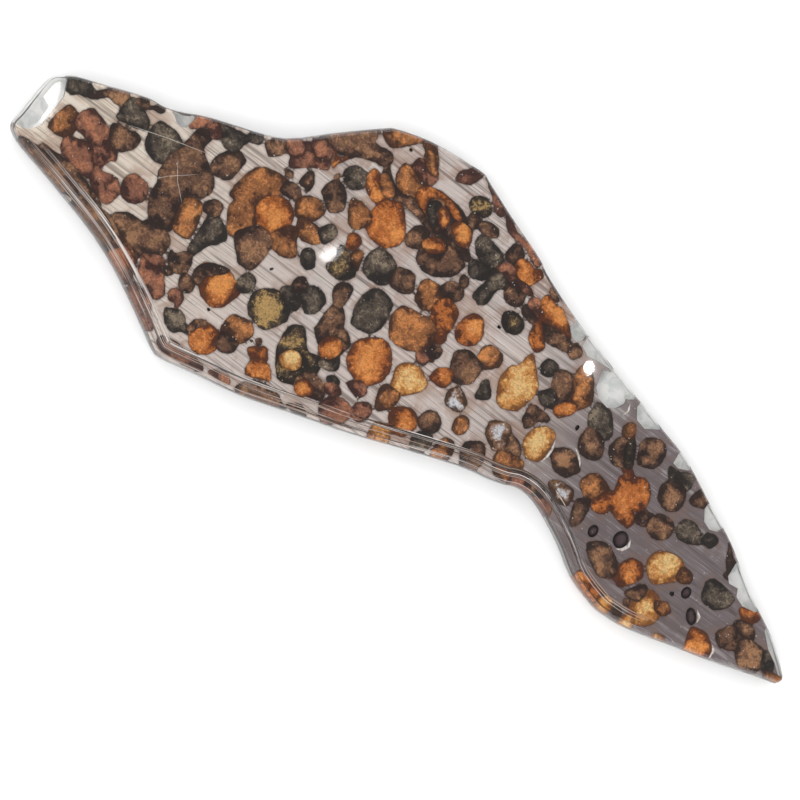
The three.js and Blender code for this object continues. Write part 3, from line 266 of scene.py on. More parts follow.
        "charcoal -17.8,6.1 -16.7,6.7 -15.3,6.8 -14.3,6.4 -13.2,5.5 -12.9,4.3 -13.1,2.9 -14,2.1 -15.3,1.8 "
        "-16.7,1.9 -17.6,2.6 -18.3,4.4",
        "umber -13.4,5.7 -12.2,6.4 -11,6.6 -10.1,6.1 -9.2,4.4 -9.8,3.6 -10.9,3 -13.2,3.3",
    ),
    "middle_russet": (
        "sienna -8.4,7.2 -5.9,7.6 -4.8,6.9 -4.6,5.7 -4.8,4.1 -5.3,3.4 -6.4,3.1 -7.6,3.2 -8.4,3.8 -9,6.2",
        "umber -6.2,7.3 -5.5,9 -4.8,9.4 -3.4,9.4 -2.6,9 -2.3,8.1 -2.8,7.2 -4.1,6.5 -5.5,6.8",
        "amber -4.5,6.6 -3.3,6.8 -2.1,6.3 -1.3,5.5 -1,2.5 -2.2,1.7 -3.6,1.6 -5.1,3.6 -5.2,5.3",
        "sienna -9.6,0.8 -9,1.7 -6.2,2.2 -3.4,2.2 -0.4,-2 -1.2,-3 -3.2,-2.7 -5.6,-3.7 -7.8,-3.5 -9.3,-1.7 "
        "-9.7,-0.5",
        "russet -3.2,-3.1 -2.9,-2.4 -1.6,-2.2 -0.9,-2.8 -1.2,-3.8 -2.4,-4",
    ),
    "moss_oval": (
        "charcoal -12.4,1.5 -11.2,1.1 -10.4,0.3 -10,-2.5 -10.2,-3.7 -10.7,-4.7 -11.6,-5.2 -14,-5.4 "
        "-14.7,-4.4 -15.1,-3.1 -15.3,-1.7 -15,0.1 -14.6,0.9 -13.8,1.4",
    ),
    "crest_lens": (
        "sienna -27.2,21.6 -26.6,20.7 -25.6,20.3 -24.6,20.4 -21.5,23.8 -22.3,24.6 -24.5,24",
    ),
    "crest_cluster": (
        "sienna -21.2,24.6 -19.8,24.8 -17.3,22.4 -17.4,21.7 -19.4,21.5 -20.3,23 -21.2,23.6",
        "russet -20.6,21 -20,21.7 -17.8,22 -16.7,21.4 -16.2,20.7 -16.2,19.8 -16.7,18.8 -17.8,18.2 "
        "-20.2,19",
        "sienna -21.9,19.1 -21.2,19.6 -18,18.6 -17.2,17.6 -17.2,16 -19.3,15.4 -21.2,16.3 -21.8,17.4",
        "amber -17.3,18.3 -16,19 -14.6,18.8 -14.2,17.4 -14.4,16.2 -14,15.1 -14.8,15 -17.2,16.1 -17.5,17",
        "umber -15.3,18.9 -14.3,19.3 -11.2,19.2 -7.8,17.8 -6.9,17.1 -6.4,14.9 -7.2,14.3 -8.6,14.1 "
        "-12.9,14.4 -14.2,15 -14.8,16.3",
        "umber -23.7,17.5 -21.8,16.3 -19.5,15.5 -17,16.1 -14.9,15.1 -12.9,14.5 -8,14.2 -6,14.6 -4.8,13.6 "
        "-5.5,13 -7.1,13.5 -12.2,13.2 -14.8,13.9 -17.9,14.2 -20.2,14 -22,15.4 -23.6,15.7",
    ),
    "glitter_lens": (
        "umber -13.3,13.4 -12.2,12.9 -12,10.4 -13.8,9.5 -14.6,9.9 -15,10.8 -14.9,12.2 -14.3,13.1",
        "umber -12.3,10.2 -11.8,11.9 -8.8,13.4 -7.1,13.4 -5.7,12.9 -4.9,12.2 -5.6,10 -7.4,8.5 -8.6,8 "
        "-9.8,7.9 -10.9,8.2 -11.7,8.8",
    ),
    "crest_round": (
        "olive -10.1,21.2 -9.7,22.2 -8.6,22.7 -7.6,22.6 -6.7,22 -6.3,21.2 -6.7,20.3 -7.6,19.9 -8.8,19.9 "
        "-9.7,20.3",
    ),
    "crest_tip": (
        "russet -10.7,25.6 -11.4,23.2 -13.1,22.2 -13.8,22.2 -14,23.4 -13.3,24.5 -12.2,25.4",
    ),
    "forest_mass": (
        "charcoal -5.5,17.8 -4.7,18.1 -1.7,17.5 -0.5,16.8 0,15.8 -0.2,14.6 -1.2,13.9 -2.6,14 -4,14.8 "
        "-5.2,15.6 -5.8,17",
        "charcoal -4.6,13.9 -2.6,14.4 -1,14.3 -0.9,12.7 -2.1,11.9 -3.3,11.6 -4.2,12.4",
        "charcoal 2.6,14.8 2.8,13.4 1.4,12.6 1.2,9.8 0.4,8.9 -0.5,9.1 -1.3,9.7 -0.9,12.2 -1.1,14.7 0.8,15",
        "umber 2.4,14.6 3.3,15.1 4.3,15.1 5.2,14.6 5.9,13.2 5.5,12.3 4.6,11.8 3.6,11.8 2.7,12.4 2.2,13.5",
    ),
    "crest_amber": (
        "umber 0.4,20.2 1.3,19.8 1.9,19 1.9,17.4 1.4,16.7 -0.5,17.4 -0.8,18.6 -0.4,19.8",
        "amber 6.1,18 5,15.9 3.8,15.6 2.8,15.8 1.9,16.4 1.5,17.2 1.6,18.4 2.2,18.8 3.3,18.9 4.3,18.6 "
        "5.2,19 5.9,18.7",
    ),
    "sienna_ridge": (
        "umber 6.2,13 6.8,13.6 7.8,13.4 9.6,12.6 9.7,11.5 7.2,11.6 6.4,12.2",
        "amber 8.1,16.2 8.6,16.7 9.7,16.6 10.3,16 11.2,16.2 12.1,15.8 14.8,13.9 14.9,12.9 11,12.6 10.3,12 "
        "9.4,12.2 8.2,15",
        "umber 10,12.1 11,12.9 14.7,13.2 15.9,12.7 16.6,13.4 17.5,12.4 16.4,11.4 12.8,10.6 11.5,10.8",
        "amber 10.2,12.4 12.4,10 12.6,9 12,8.3 11.2,8.5 9.6,9.6 9.4,11.8",
    ),
    "olive_ring": (
        "olive 4.3,10.1 4.8,10.9 5.9,11.3 7.1,11.2 7.9,10.7 8.2,9.8 8,8.9 7.2,8.3 6,8.2 5,8.8",
    ),
    "gold_bottle": (
        "honey 12.1,7.6 15.1,4.6 15.6,3.6 15.6,1.9 15,-0.5 14,-1.3 12.8,-1.7 11.7,-1.5 11,-0.9 9.8,1.6 "
        "9.8,3.1 10.2,4.4 11,5.1 11.4,7.1",
    ),
    "dusky_row": (
        "charcoal 16.3,8.6 16.6,7.4 16.3,6.8 15.5,6.2 14.7,6.2 14,6.8 13.9,7.9 14.3,8.7 15.2,8.9",
        "umber 16.2,7.9 17.1,8.7 18.1,8.9 18.8,8.7 20.7,6.6 21,5.7 20.5,4.8 18.3,4.3 17.2,5.4",
        "charcoal 16,3.6 17.3,5.3 18.8,4.8 19.5,3.8 19.3,2.9 18.6,2.5 17.2,2.5 16.4,2.9",
        "sienna 19.8,11.2 21,11 22.2,10 23.7,7.4 22.9,5.3 21.8,4.5 20.5,5.2 20.2,7 19.4,8.1 19.1,10.5",
        "amber 22.4,5 22.2,3.9 21.6,3.1 20.9,2.4 20,2.4 19.4,3.2 20,4.4 20.7,5.1 21.7,5.4",
    ),
    "umber_tooth": (
        "umber 19.3,1.6 19.8,0.8 18.7,0 17.7,-2 16.9,-1.8 16.2,-1 16.2,1.2 17.1,1.7",
    ),
    "gold_tear": (
        "honey 21.5,0.1 22.3,-0.8 22.5,-3.8 22.1,-5.1 21.2,-5.6 20.2,-5.6 19.1,-4.9 18.4,-3.4 18.6,-1.7 "
        "19.3,-0.6 20.2,0.1",
    ),
    "amber_egg": (
        "amber 1.4,7.6 2.2,7.4 3,6.6 3.6,5.6 3.7,4.6 3.4,3.6 2.8,2.9 1.8,2.4 0.6,2.4 -0.2,3.3 -0.5,4.3 "
        "-0.4,5.4 0,6.6 0.6,7.3",
    ),
    "smoky_group": (
        "sienna 7.8,4.9 8.4,4.3 8.6,3.2 8.2,2.5 6.5,1.1 5.2,1.5 4.8,3.6 5.2,4.5 6,5.1",
        "umber 5.9,1.9 6.6,1 6.5,-1.2 5.9,-2.1 4.8,-2.9 3.4,-3 2.1,-1 1.6,0.5 2,1.4 2.9,2.1 3.8,2.3",
        "amber 2.8,-1.8 3.7,-2.6 3.4,-4.7 1,-4.9 0.6,-4.1 0.9,-2.9 1.7,-2.2",
    ),
    "dark_drop": (
        "charcoal 8.4,0.3 9,0 10.1,-1.4 9.9,-2.2 8.8,-3 8.1,-2.8 7.8,-1 7.9,0",
    ),
    "fogged_left": (
        "fogged 4.8,-3.8 5.5,-3.3 7.4,-4.2 7.8,-4.8 7.4,-6.4 5.3,-6.6 4.5,-6 4.3,-4.7",
    ),
    "dark_tooth": (
        "umber 13.8,-8.2 15,-10 14.8,-12.2 12.6,-12.7 11.6,-11.6 11,-9.7 12.9,-8.1",
    ),
    "fogged_cluster": (
        "fogged 12.8,-4.1 14.7,-3.2 15.5,-3.4 16.6,-4.4 17,-6 16.7,-7.2 15.5,-7.8 14.8,-7.7 13.1,-6.7 "
        "12.4,-5.2",
        "umber 16.2,-4.4 17.2,-4.2 18.8,-5 19.4,-6.1 19.2,-6.9 17.6,-7.1 16.7,-6.4",
        "sienna 16,-8.3 16.4,-7.2 19,-6.5 20.2,-6.7 20.8,-7.6 20.2,-10 19.1,-10.7 17.9,-10.8 16.9,-10.2",
        "russet 28.2,-9.8 28.2,-11 24,-10.1 22,-10.1 20,-10.6 20.3,-8.8 21,-7.8 22.1,-7.8 24.7,-9 27.4,-9",
    ),
    "opal_eye": (
        "umber 23.1,-2.3 23.7,-1.5 25.5,-0.6 28.3,-2.2 27.6,-4 27,-4.5 25.9,-4.7 24.9,-4.6 24,-3.9 "
        "23.3,-3.2",
    ),
    "fogged_right": (
        "fogged 25.6,-6.9 25.9,-5.9 26.9,-5.4 29.1,-5.3 29.7,-6 30,-7.2 29.8,-7.9 28.8,-8.3 27.6,-8.2",
    ),
    "amber_fork": (
        "sienna 30.5,-1.3 31.6,-1 33.9,-1.9 33.8,-3.3 32.9,-5.5 31.6,-5.3 29.8,-4.1 29.5,-3.3 29.8,-2.1",
        "amber 33.7,3 34.3,3.3 36,2.2 37.9,2.8 39.7,1.3 40.3,-0.9 40,-4.6 39.1,-5 37.9,-5 35.9,-4.5 "
        "35.7,-5.2 34.7,-5.8 33.6,-5.9 32.9,-5 33.8,-2.5 34.7,-1.5 34.2,0.5 34.4,1.3 33.8,2",
        "umber 31.2,6.1 32.1,5.8 34.1,2.7 33.3,2 32.4,1.7 31.4,2 30.2,3.3 30.4,5.1",
        "olive 32.7,6.8 34,5 35,2.8 34,2.4 33,3.6 32,5.5",
        "umber 32.6,-5 33.2,-7.8 33.1,-8.9 32.6,-9.8 31.8,-9.7 30.6,-6.6 31.4,-5.4",
        "umber 42.3,-1 42.4,-2.4 41.9,-3.2 40.9,-3.5 39.9,-3.3 39.8,-2.2 40.4,-1.4 41.2,-1",
        "umber 45.4,-0.2 46.1,-2 45.5,-3.1 44.5,-3.8 43.3,-3.7 42.4,-3.1 42,-1.6 42.4,-0.6 43,-0.1",
    ),
    "dark_leaf": (
        "charcoal 24.8,7.9 26.9,8 27.8,7.3 29.1,5.8 29.4,5 29.1,4 28.1,3.6 26,3.6 24.6,5.6 24.4,7.2",
        "umber 26,4.1 28.4,3.9 29.3,2.9 29.8,1.9 29.8,1 29.2,0.2 28.1,-0.2 26.9,-0.1 26,0.6 25.5,1.6 "
        "25.4,3.2",
    ),
    "amber_drum": (
        "umber 37.3,8.9 38,8.1 38.2,7.2 37.9,5.1 35.4,4.1 34,6.3 33.9,7.2 34.3,8.1 35.2,8.7 36.2,9.1",
    ),
    "amber_target": (
        "umber 41.4,5.4 42.6,5.8 43.8,5.4 44.6,4.4 44.9,3.4 44.8,2.2 44.3,1.3 43.4,0.9 42.1,1.1 41,1.8 "
        "40.4,3.2 40.6,4.3",
        "charcoal 39.9,6.8 41.6,6.9 42.4,7.4 43.6,7.6 44.3,7 44.2,5.4 42.5,5.5 41,5.1 40,5.9",
    ),
    "moss_disc": (
        "charcoal 46.2,0.5 46.4,1.3 47.2,1.7 48.6,1.8 50.8,0.8 50.9,0 49.7,-1 48.4,-1.5 47.2,-1.4 "
        "46.4,-0.6",
        "charcoal 52.7,2.1 53,1.3 52.6,0.4 51.9,0.1 50.6,0.2 50.5,1.1 50.8,1.9 51.9,2.3",
    ),
    "edge_lens": (
        "umber 45.9,6.6 46.7,6.8 47.7,6.1 48.1,5.5 47.9,4.5 46.1,4 45.4,4.5",
    ),
    "gold_cushion": (
        "honey 50.9,-4.8 51,-6.4 50.7,-7.4 49,-9.1 47.9,-9.5 46.2,-8.5 45.4,-6.9 45.8,-5.3 46.6,-4.6 "
        "49.1,-3.9 50.2,-4.1",
        "sienna 50.5,-4.8 52.3,-4.7 52.9,-5.3 52.9,-6.2 51.4,-6.9 50.6,-6.6",
    ),
    "forest_disc": (
        "charcoal 55.1,-4.8 55.4,-3.6 56.4,-3.2 59.9,-3.6 60.4,-4.5 60.2,-5.5 59.6,-6.3 58.7,-7 57.6,-7.2 "
        "56.4,-7.1 55.6,-6.4",
    ),
    "tip_cluster": (
        "amber 62,-4.3 64.9,-3.4 65.4,-4 65.1,-5.1 64.2,-5.7 63,-5.6",
        "umber 62.5,-6.7 63.2,-5.8 64.5,-5.5 65.6,-5.8 66.3,-6.6 66.5,-7.6 65.9,-8.5 63.3,-8.3",
        "umber 61,-9.7 62.5,-7.5 65.4,-8 65.7,-9.3 65.2,-10.3 64,-10.9 62.8,-11.3 61.8,-10.8",
        "umber 64.8,-8.6 66.2,-7.5 68.8,-7.5 70,-8.3 70.2,-9.5 69.9,-10.6 69,-11.6 67.6,-11.8 66.4,-11.5 "
        "65.4,-10.7",
        "charcoal 68.9,-7.6 69.7,-7.3 70.7,-7.7 71.6,-8.5 72,-9.6 71.4,-10.2 70.6,-10.2 69.6,-9.3",
    ),
    "amber_wedge": (
        "amber 57.2,-11.7 57.7,-11.1 59,-10.8 60.2,-11 61.8,-12.2 62,-13.1 61.7,-14 58.7,-15 57.8,-13.8",
    ),
    "gold_sheaf": (
        "honey 49,-10.5 50.2,-10.8 51.2,-11.8 52,-13.6 51.3,-15.3 49.4,-16.4 48.5,-16.2 47,-14.2 "
        "47.5,-11.7 48.1,-10.9",
        "sienna 50,-11.5 51.6,-10.7 52.5,-10.9 53,-11.6 52.7,-12.4 51.9,-12.9 50.7,-12.6",
        "umber 47.8,-10.6 48.2,-11.7 47.8,-13.3 45.6,-13.6 45.3,-12.9 46.8,-10.9",
        "honey 48.9,-15.7 49.3,-16.6 49.3,-17.6 47.1,-17.9 47.2,-16.6 47.8,-15.4",
    ),
    "amber_bean": (
        "amber 45.3,-8.3 46,-9.2 46.2,-10.2 44.3,-12.9 43.3,-12.9 42,-12.3 42.3,-9.7 43.1,-8.4 44.3,-8",
        "umber 36.1,-10.7 36.8,-9.7 37.9,-9.1 39.3,-9 41.6,-10.4 42.4,-11.5 42.2,-12.8 41,-13.5 "
        "39.8,-13.5 37.2,-12.1",
    ),
}

# Small grains that are only drawn on the finished core
LOOSE_GRAINS = (
    "amber -31.8,14.6 -30.6,14.1 -29.8,15 -29.3,14.7 -29.8,13.8 -30.3,12.9 -30.4,12.2 -30.9,12.8 -31.2,13.7",
    "umber -33.4,8.8 -32.8,9.7 -32.1,9.3 -31.4,8.2 -31.5,6.9 -32.2,7 -33.3,7.2",
    "umber -29.4,11.4 -29.1,12.1 -28.8,11.4 -29.1,10.8",
    "russet -40,-18.1 -39.3,-17.2 -38.3,-17.2 -37.6,-17.8 -37.4,-18.8 -37.6,-19.8 -38.3,-19.1 -39.3,-19.1",
    "umber -24.8,-16.2 -24.3,-15.6 -23.8,-16 -24,-16.7",
    "charcoal -12.4,-14.1 -11.6,-13.4 -10.5,-13.6 -10.4,-14.4 -11.2,-14.9 -12.2,-14.7",
    "umber -15,-21.4 -14.3,-20.5 -13.4,-20 -12.4,-20.3 -11.4,-21.3",
    "umber -22.6,-24.2 -22.3,-22.3 -20.7,-21 -19,-20.7 -17.2,-20.8 -15.9,-21.6 -15.3,-22.3",
    "russet -27.8,-24.5 -27,-23.4 -25.9,-22.8 -24.8,-23.1 -24.4,-24.2",
    "russet -37,-24.4 -34.5,-23.8 -31.5,-23.9 -29,-24.3 -29.5,-25.4 -36,-26",
    "charcoal -26.8,-1.2 -26.7,-0.4 -26,0.1 -25.2,-0.1 -24.2,-1.3 -24,-2 -24.6,-2.8 -25.5,-2.8 -26.3,-2.2",
    "amber -22.4,5.5 -21.7,6.2 -20.7,6.2 -20.1,5.5 -20.2,4.3 -20.9,3.6 -21.9,3.8 -22.2,4.6",
    "sienna 7.7,-7.8 8.2,-6.6 9.2,-6.3 10.1,-7.2 10.1,-8.5 9.3,-9.3 8.2,-9.1",
    "honey 42.2,-16.6 42.8,-15.7 43.8,-15.3 44.8,-15.9 45,-16.9 44.8,-17.9 43,-18 42,-17.5",
    "fogged 45.3,-16.3 46,-15.6 46.7,-16.3 46.4,-17.2 45.6,-17.1",
    "honey 52.4,-16.4 53.1,-15.5 54.2,-15.2 55,-15.5 54.7,-16 53.3,-16.5",
    "umber 54.3,2.9 55.2,2.2 56.2,1.3 57.6,0.7 59,0 58.7,-0.9 57.4,-1.2 56.4,-0.7 55.6,0.5 54.9,1.9",
    "sienna 30,7.4 30.5,8.2 31.4,8.6 32.1,7.7 32.4,6.7 31.6,6.1 30.5,6.3",
    "umber 45.9,-14 46.6,-13.9 46.9,-14.6 46.2,-14.9",
    "umber -61,2.6 -59.5,3.3 -58.8,2.8 -57.8,3.6 -56.6,3.6 -56.8,2.9 -58.2,2.6 -59.2,1.9 -60.6,2",
    "russet -52.4,4.9 -51.6,6.4 -50,7 -48.4,6.9 -47.2,5.6 -48.2,4.6 -49.8,5.4 -51,4.4 -52,3.9",
    "umber -42.8,-15.4 -41.8,-15.1 -41.1,-15.7 -41.6,-16.4 -42.5,-16.3",
    "russet -46.6,-16.2 -45.4,-15.2 -43.9,-14.6 -42.8,-15.4 -44.2,-16.3",
    "umber -59.8,-14.6 -56,-14.3 -52,-15.9 -50.5,-17.2 -50.8,-19.6 -56,-17.6 -59.5,-16.6",
    "russet -51.2,-16 -47.4,-17.4 -46.3,-18.6 -45.8,-21 -48.6,-20.4 -50.9,-19.4",
    "russet -45.2,-20.2 -43.6,-20.4 -41.4,-20.9 -40.4,-22.4 -38.6,-24.2 -40,-24.9 -43.6,-23 -45.4,-21.8",
    "russet -9.2,24.8 -8.3,24.9 -6,23.8 -4.4,22.9 -4.6,22 -5.6,21.9 -6.6,22.6 -7.6,23.6",
    "russet -4.2,22.6 -3.2,22.6 -1,21.4 1.5,21 3.4,20.2 4.6,19.9 4.4,19 3.2,19.3 1.5,20.2 -1,20.4 -2.6,20.8",
    "umber -8.8,19.9 -7.4,19.7 -6.5,18.9 -7.2,17.7 -8.6,18.4",
    "umber -6.4,19.8 -4.2,20.2 -3.3,19.3 -4.1,18.4 -5.9,18.1 -6.9,18.7",
    "russet -0.2,16.6 1.5,16.8 2.8,15.9 5,15.9 6.4,15.2 5.4,14.6 3.3,15 2.4,14.6 1,15 -0.6,15.1",
    "russet 6.6,14.7 7.8,15.2 8.7,14.2 9.3,12.7 8,13.2 6.7,13.5",
    "umber -4.3,11 -3.4,11.1 -2.8,10.1 -3.3,9.4 -4.2,10",
    "umber -2,-0.3 -1,0.1 -0.1,-0.4 0,-1.4 -0.8,-2.2 -1.9,-2",
    "amber -2.3,2.4 -1.4,2.3 -0.7,1.6 -0.8,0.5 -1.7,0.2 -2.4,1",
    "russet -12,-14.9 -10.4,-14.3 -9.2,-15.1 -10.4,-16.1 -11.6,-16.1",
    "amber 37.6,-14.6 40.5,-14.9 42.8,-15.4 42.4,-16.4 41.8,-17.8 39.6,-17.1 37.4,-16",
    "sienna 70.9,-10 72.2,-9.6 73.6,-9.4 73.8,-10.4 72,-11.2 71.1,-10.8",
    "umber 8.2,17.7 9.4,17.5 10.4,16.9 10,16.4 8.6,16.9",
    "umber 16.2,12.2 17.2,13.2 18.2,12.2 17.4,10.9 16.3,11.2",
    "umber 57,-1 58.4,-0.8 58.2,-2 56.8,-1.9",
    "umber -36.4,7.6 -35.2,7.9 -34.6,7.2 -35.6,6.8",
    "umber 23.7,-8.6 25.6,-8.1 26,-9.2 24.4,-9.6",
    "umber -71.8,-12.6 -68,-12.4 -64,-13 -60.5,-13.9 -60,-15.5 -64,-15.4 -68,-14.5 -71.6,-13.4",
    "umber -16.1,17 -14.4,18.6 -12.3,18 -10.8,15.8 -10.7,14.4 -12,13.9 -14,14.9",
    "amber -17.6,16.7 -17.3,18.2 -15.7,19.2 -13.3,19.4 -10.7,18.7 -9.4,17.7 -10.6,17.3 "
    "-13.6,18.5 -15.4,17.5 -14.9,15.6 -16.2,15.6",
    "charcoal -15.3,16.8 -14.2,17.9 -13.1,17.5 -13.3,16.2 -12.1,14.8 -12.4,14.2 -14.2,15.2",
    "amber -13.2,16.6 -13,17.7 -11.7,17.5 -10.8,16.3 -11,14.9 -12.3,15.4",
    "amber -10.1,16 -9.5,17.3 -7.6,17.4 -6.3,16.2 -6.4,14.6 -8.1,14.6",
    "amber -12.4,11.2 -11.9,12.7 -10.2,13.4 -8.9,12.7 -9.5,11.4 -11,10.5",
    "sienna -23.8,15.8 -22.9,16.4 -21,15.5 -20.2,14.1 -21.3,13.5 -22.8,14.4",
    "sienna -19.8,23.6 -17.6,22.6 -16.8,20.9 -18.2,20.8 -19.6,22.1",
    "russet -35.4,13.5 -33.7,14.9 -32,14.3 -31.6,13 -33.4,12.1",
    "russet -38.6,11.2 -37.5,12.4 -35.9,12.2 -35.6,10.8 -37.2,10",
    "amber -16.5,-10.4 -15.7,-8.8 -14.1,-8.5 -13.1,-9.5 -13.4,-11.3 -15,-12.3 -16.1,-11.4",
    "amber -15.9,-17.8 -15.1,-16.5 -13.3,-16.7 -12.9,-17.8 -14.1,-19 -15.3,-18.8",
    "honey -20.4,-15.8 -19.3,-14 -17.5,-14.2 -16.8,-15.7 -18,-16.9 -19.6,-16.8",
    "umber -38.7,-13.5 -38.1,-11.6 -36.1,-10.3 -34.2,-10.2 -35.2,-11.5 -36.7,-12.9 -36.8,-14.6 -37.7,-14.7",
    "umber -34.4,-21 -34.3,-19.5 -32.9,-18.4 -32.2,-18.9 -33,-19.9 -33.6,-21.1",
)

PIT_DEPTH = 0.5

# Kinds of crystal with cleavage glints, and how far flakes lie over the core's face
GLINTING = ("honey", "olive")
FLAKE_LIFT = 0.02

# How much of the core's thickness the pale fill of the chips takes; its paleness is painted light, for light
# shining through the clear resin
FILL_SHARE = 0.5

# Places at the core's edge where the metal is chipped away and only clear resin is left
EDGE_CHIPS = (
    "22.2,12.6 23,9.6 24.3,8.5 26.2,8.1 27.6,9 28.3,10.4 27.6,12.6 25.8,13.8",
    "14.6,16.8 14.2,14.6 15.4,13.6 16.3,13.4 17.2,14.4 17,16.4",
    "-55.8,6 -55.3,4.2 -53.7,3 -52.4,3.4 -52,5.2 -52.2,8",
    "17.1,17 17.5,13.5 19,12.7 20.5,13 23,13.2 25.4,12.6 25.6,15",
    "-78,0 -71.5,-1 -70.2,-4 -70.5,-9.5 -72,-11.4 -78,-12",
    "25.8,13.6 26.3,11.2 28.2,11.1 29.4,12 29.4,15",
    "29.9,15 30.1,11 31.2,9.4 33,9 34.4,9.9 35.4,10.5 36,15",
    "39.5,12 39.9,7.4 41,7.2 42.3,7.8 43.2,8.4 44,12",
    "48,9 48.2,4.6 49.3,3 50.7,2.5 52,3 52.6,4.1 56,6",
    "57.2,2 57.4,-1.6 58.2,-2.4 59.8,-2.2 60.4,-3.4 62,-4 64.2,-3.6 66,-2 62,3",
    "66.6,-2 67.2,-5 69.4,-7 71.6,-8.2 73,-9.3 78,-9 74,-3",
)

# Lighter and darker places inside crystals: x, y, half length, half width, turn in degrees, strength
GLOW_SPOTS = (
    (-64.5, -5.2, 1.6, 0.6, -20, 0.5),
    (-63.2, 0.9, 1.6, 0.6, 25, 0.6),
    (-52.2, -14.8, 1.7, 0.9, -10, 0.9),
    (-49.0, -14.6, 1.2, 0.8, 0, 0.4),
    (-26.0, 18.2, 1.8, 0.9, 20, 0.7),
    (-32.4, 8.2, 0.9, 0.6, 30, 1.0),
    (-40.4, 1.5, 0.6, 2.5, 0, -0.5),
    (-33.7, 1.0, 2.0, 1.9, 0, 0.6),
    (-28.4, 5.9, 1.2, 0.8, -30, -0.8),
    (-30.8, 4.6, 1.1, 0.9, 20, 0.6),
    (-33.6, -2.6, 1.8, 0.7, -10, -0.7),
    (-34.4, -13.2, 2.1, 1.7, 10, 1.1),
    (-37.0, -11.6, 1.9, 1.3, 35, -1.1),
    (-31.4, -12.4, 0.8, 1.9, 0, -0.9),
    (-44.0, -7.0, 1.6, 1.0, 0, 0.8),
    (-33.2, -5.4, 1.6, 1.2, 0, 0.6),
    (-37.0, -2.2, 1.6, 1.8, 0, -0.8),
    (25.6, -2.4, 0.9, 0.8, 0, 1.0),
    (5.8, -5.8, 0.8, 0.7, 0, 0.8),
    (-26.0, -11.1, 2.0, 1.8, 20, 0.6),
    (-18.6, -14.6, 1.9, 1.6, 60, 0.5),
    (-14.9, -17.6, 1.1, 0.6, -30, 0.9),
    (-15.2, -8.6, 2.4, 0.7, -50, 0.7),
    (-16.7, 10.0, 0.9, 0.9, 0, 1.0),
    (-19.8, 11.4, 0.9, 1.3, 30, 0.4),
    (-23.0, 13.8, 1.4, 1.0, 35, 0.6),
    (-12.3, 16.6, 1.7, 0.6, -38, 1.0),
    (-8.2, 16.3, 1.7, 0.8, -40, 0.8),
    (-10.6, 15.4, 0.7, 1.6, -20, -0.8),
    (-11.0, 11.0, 1.1, 0.6, -40, 1.0),
    (-7.4, 10.8, 1.6, 1.6, 0, -0.6),
    (-8.2, 21.3, 0.9, 0.8, 0, 0.9),
    (3.0, 17.9, 0.9, 0.7, 0, 1.0),
    (6.2, 9.8, 0.9, 0.8, 0, 1.0),
    (12.6, 2.4, 1.5, 2.4, 0, 0.7),
    (12.0, 6.8, 0.8, 1.0, 0, -0.5),
    (20.4, -2.6, 1.2, 1.8, 0, 0.5),
    (1.8, 5.6, 1.3, 1.3, 0, 0.6),
    (0.4, 3.2, 0.7, 1.2, 0, -0.8),
    (5.3, 3.4, 0.6, 0.9, 0, 0.8),
    (6.2, -5.7, 1.0, 0.7, 0, 1.0),
    (27.5, 1.8, 1.6, 0.6, 55, 0.9),
    (34.8, 5.3, 0.9, 0.9, 0, -0.7),
    (36.4, 7.2, 1.2, 1.3, 0, 0.5),
    (43.0, 3.3, 1.3, 1.3, 0, 0.4),
    (64.6, -6.6, 0.8, 0.6, 0, 0.9),
    (67.5, -8.6, 1.0, 0.6, 0, 0.9),
    (59.6, -12.6, 1.6, 0.9, -15, 0.4),
    (43.0, -9.2, 0.9, 0.7, -30, -0.7),
    (44.0, -10.9, 1.2, 1.0, 0, 0.5),
    (39.3, -12.2, 0.7, 0.5, 0, 1.0),
    (-5.8, 0.6, 1.6, 0.8, -30, 0.6),
    (-1.4, -1.2, 1.0, 1.1, 0, -1.0),
    (15.0, -5.4, 1.2, 1.0, 0, 0.9),
    (26.0, -2.6, 1.2, 0.8, 0, 0.9),
    (27.8, -6.8, 1.3, 0.8, 0, 0.9),
    (48.2, -6.6, 1.6, 1.6, 0, 0.5),
    (49.6, -13.6, 1.4, 2.0, 20, 0.5),
    (37.3, -2.0, 1.4, 2.2, 0, 0.3),
    (31.8, -3.0, 0.9, 0.9, 0, 0.5),
    (-9.0, -8.3, 1.8, 2.2, -20, 0.5),
    (-1.8, -6.8, 1.4, 1.2, 0, 0.5),
    (21.2, 8.6, 1.2, 1.4, -40, 0.5),
    (11.4, 14.9, 1.8, 0.8, -20, 0.4),
    (2.9, 13.5, 0.8, 0.6, 0, 0.7),
)

# Pits in the polished face: x, y, half length, half width, turn in degrees
PITS = (
    (40.0, -7.1, 1.5, 1.3, 90),
    (35.6, -8.6, 1.1, 0.85, 90),
    (56.2, -10.1, 1.5, 0.9, -50),
    (53.4, -7.6, 1.05, 0.84, 90),
    (51.6, -9.05, 0.45, 0.45, 0),
    (24.2, 2.8, 0.5, 0.35, 90),
    (-29.1, -6.0, 0.35, 0.35, 0),
    (-33.4, -16.8, 0.35, 0.3, 0),
    (5.0, 8.0, 0.4, 0.3, 0),
    (-22.2, 21.7, 0.35, 0.3, 0),
    (-25.2, -16.7, 0.35, 0.25, 0),
)
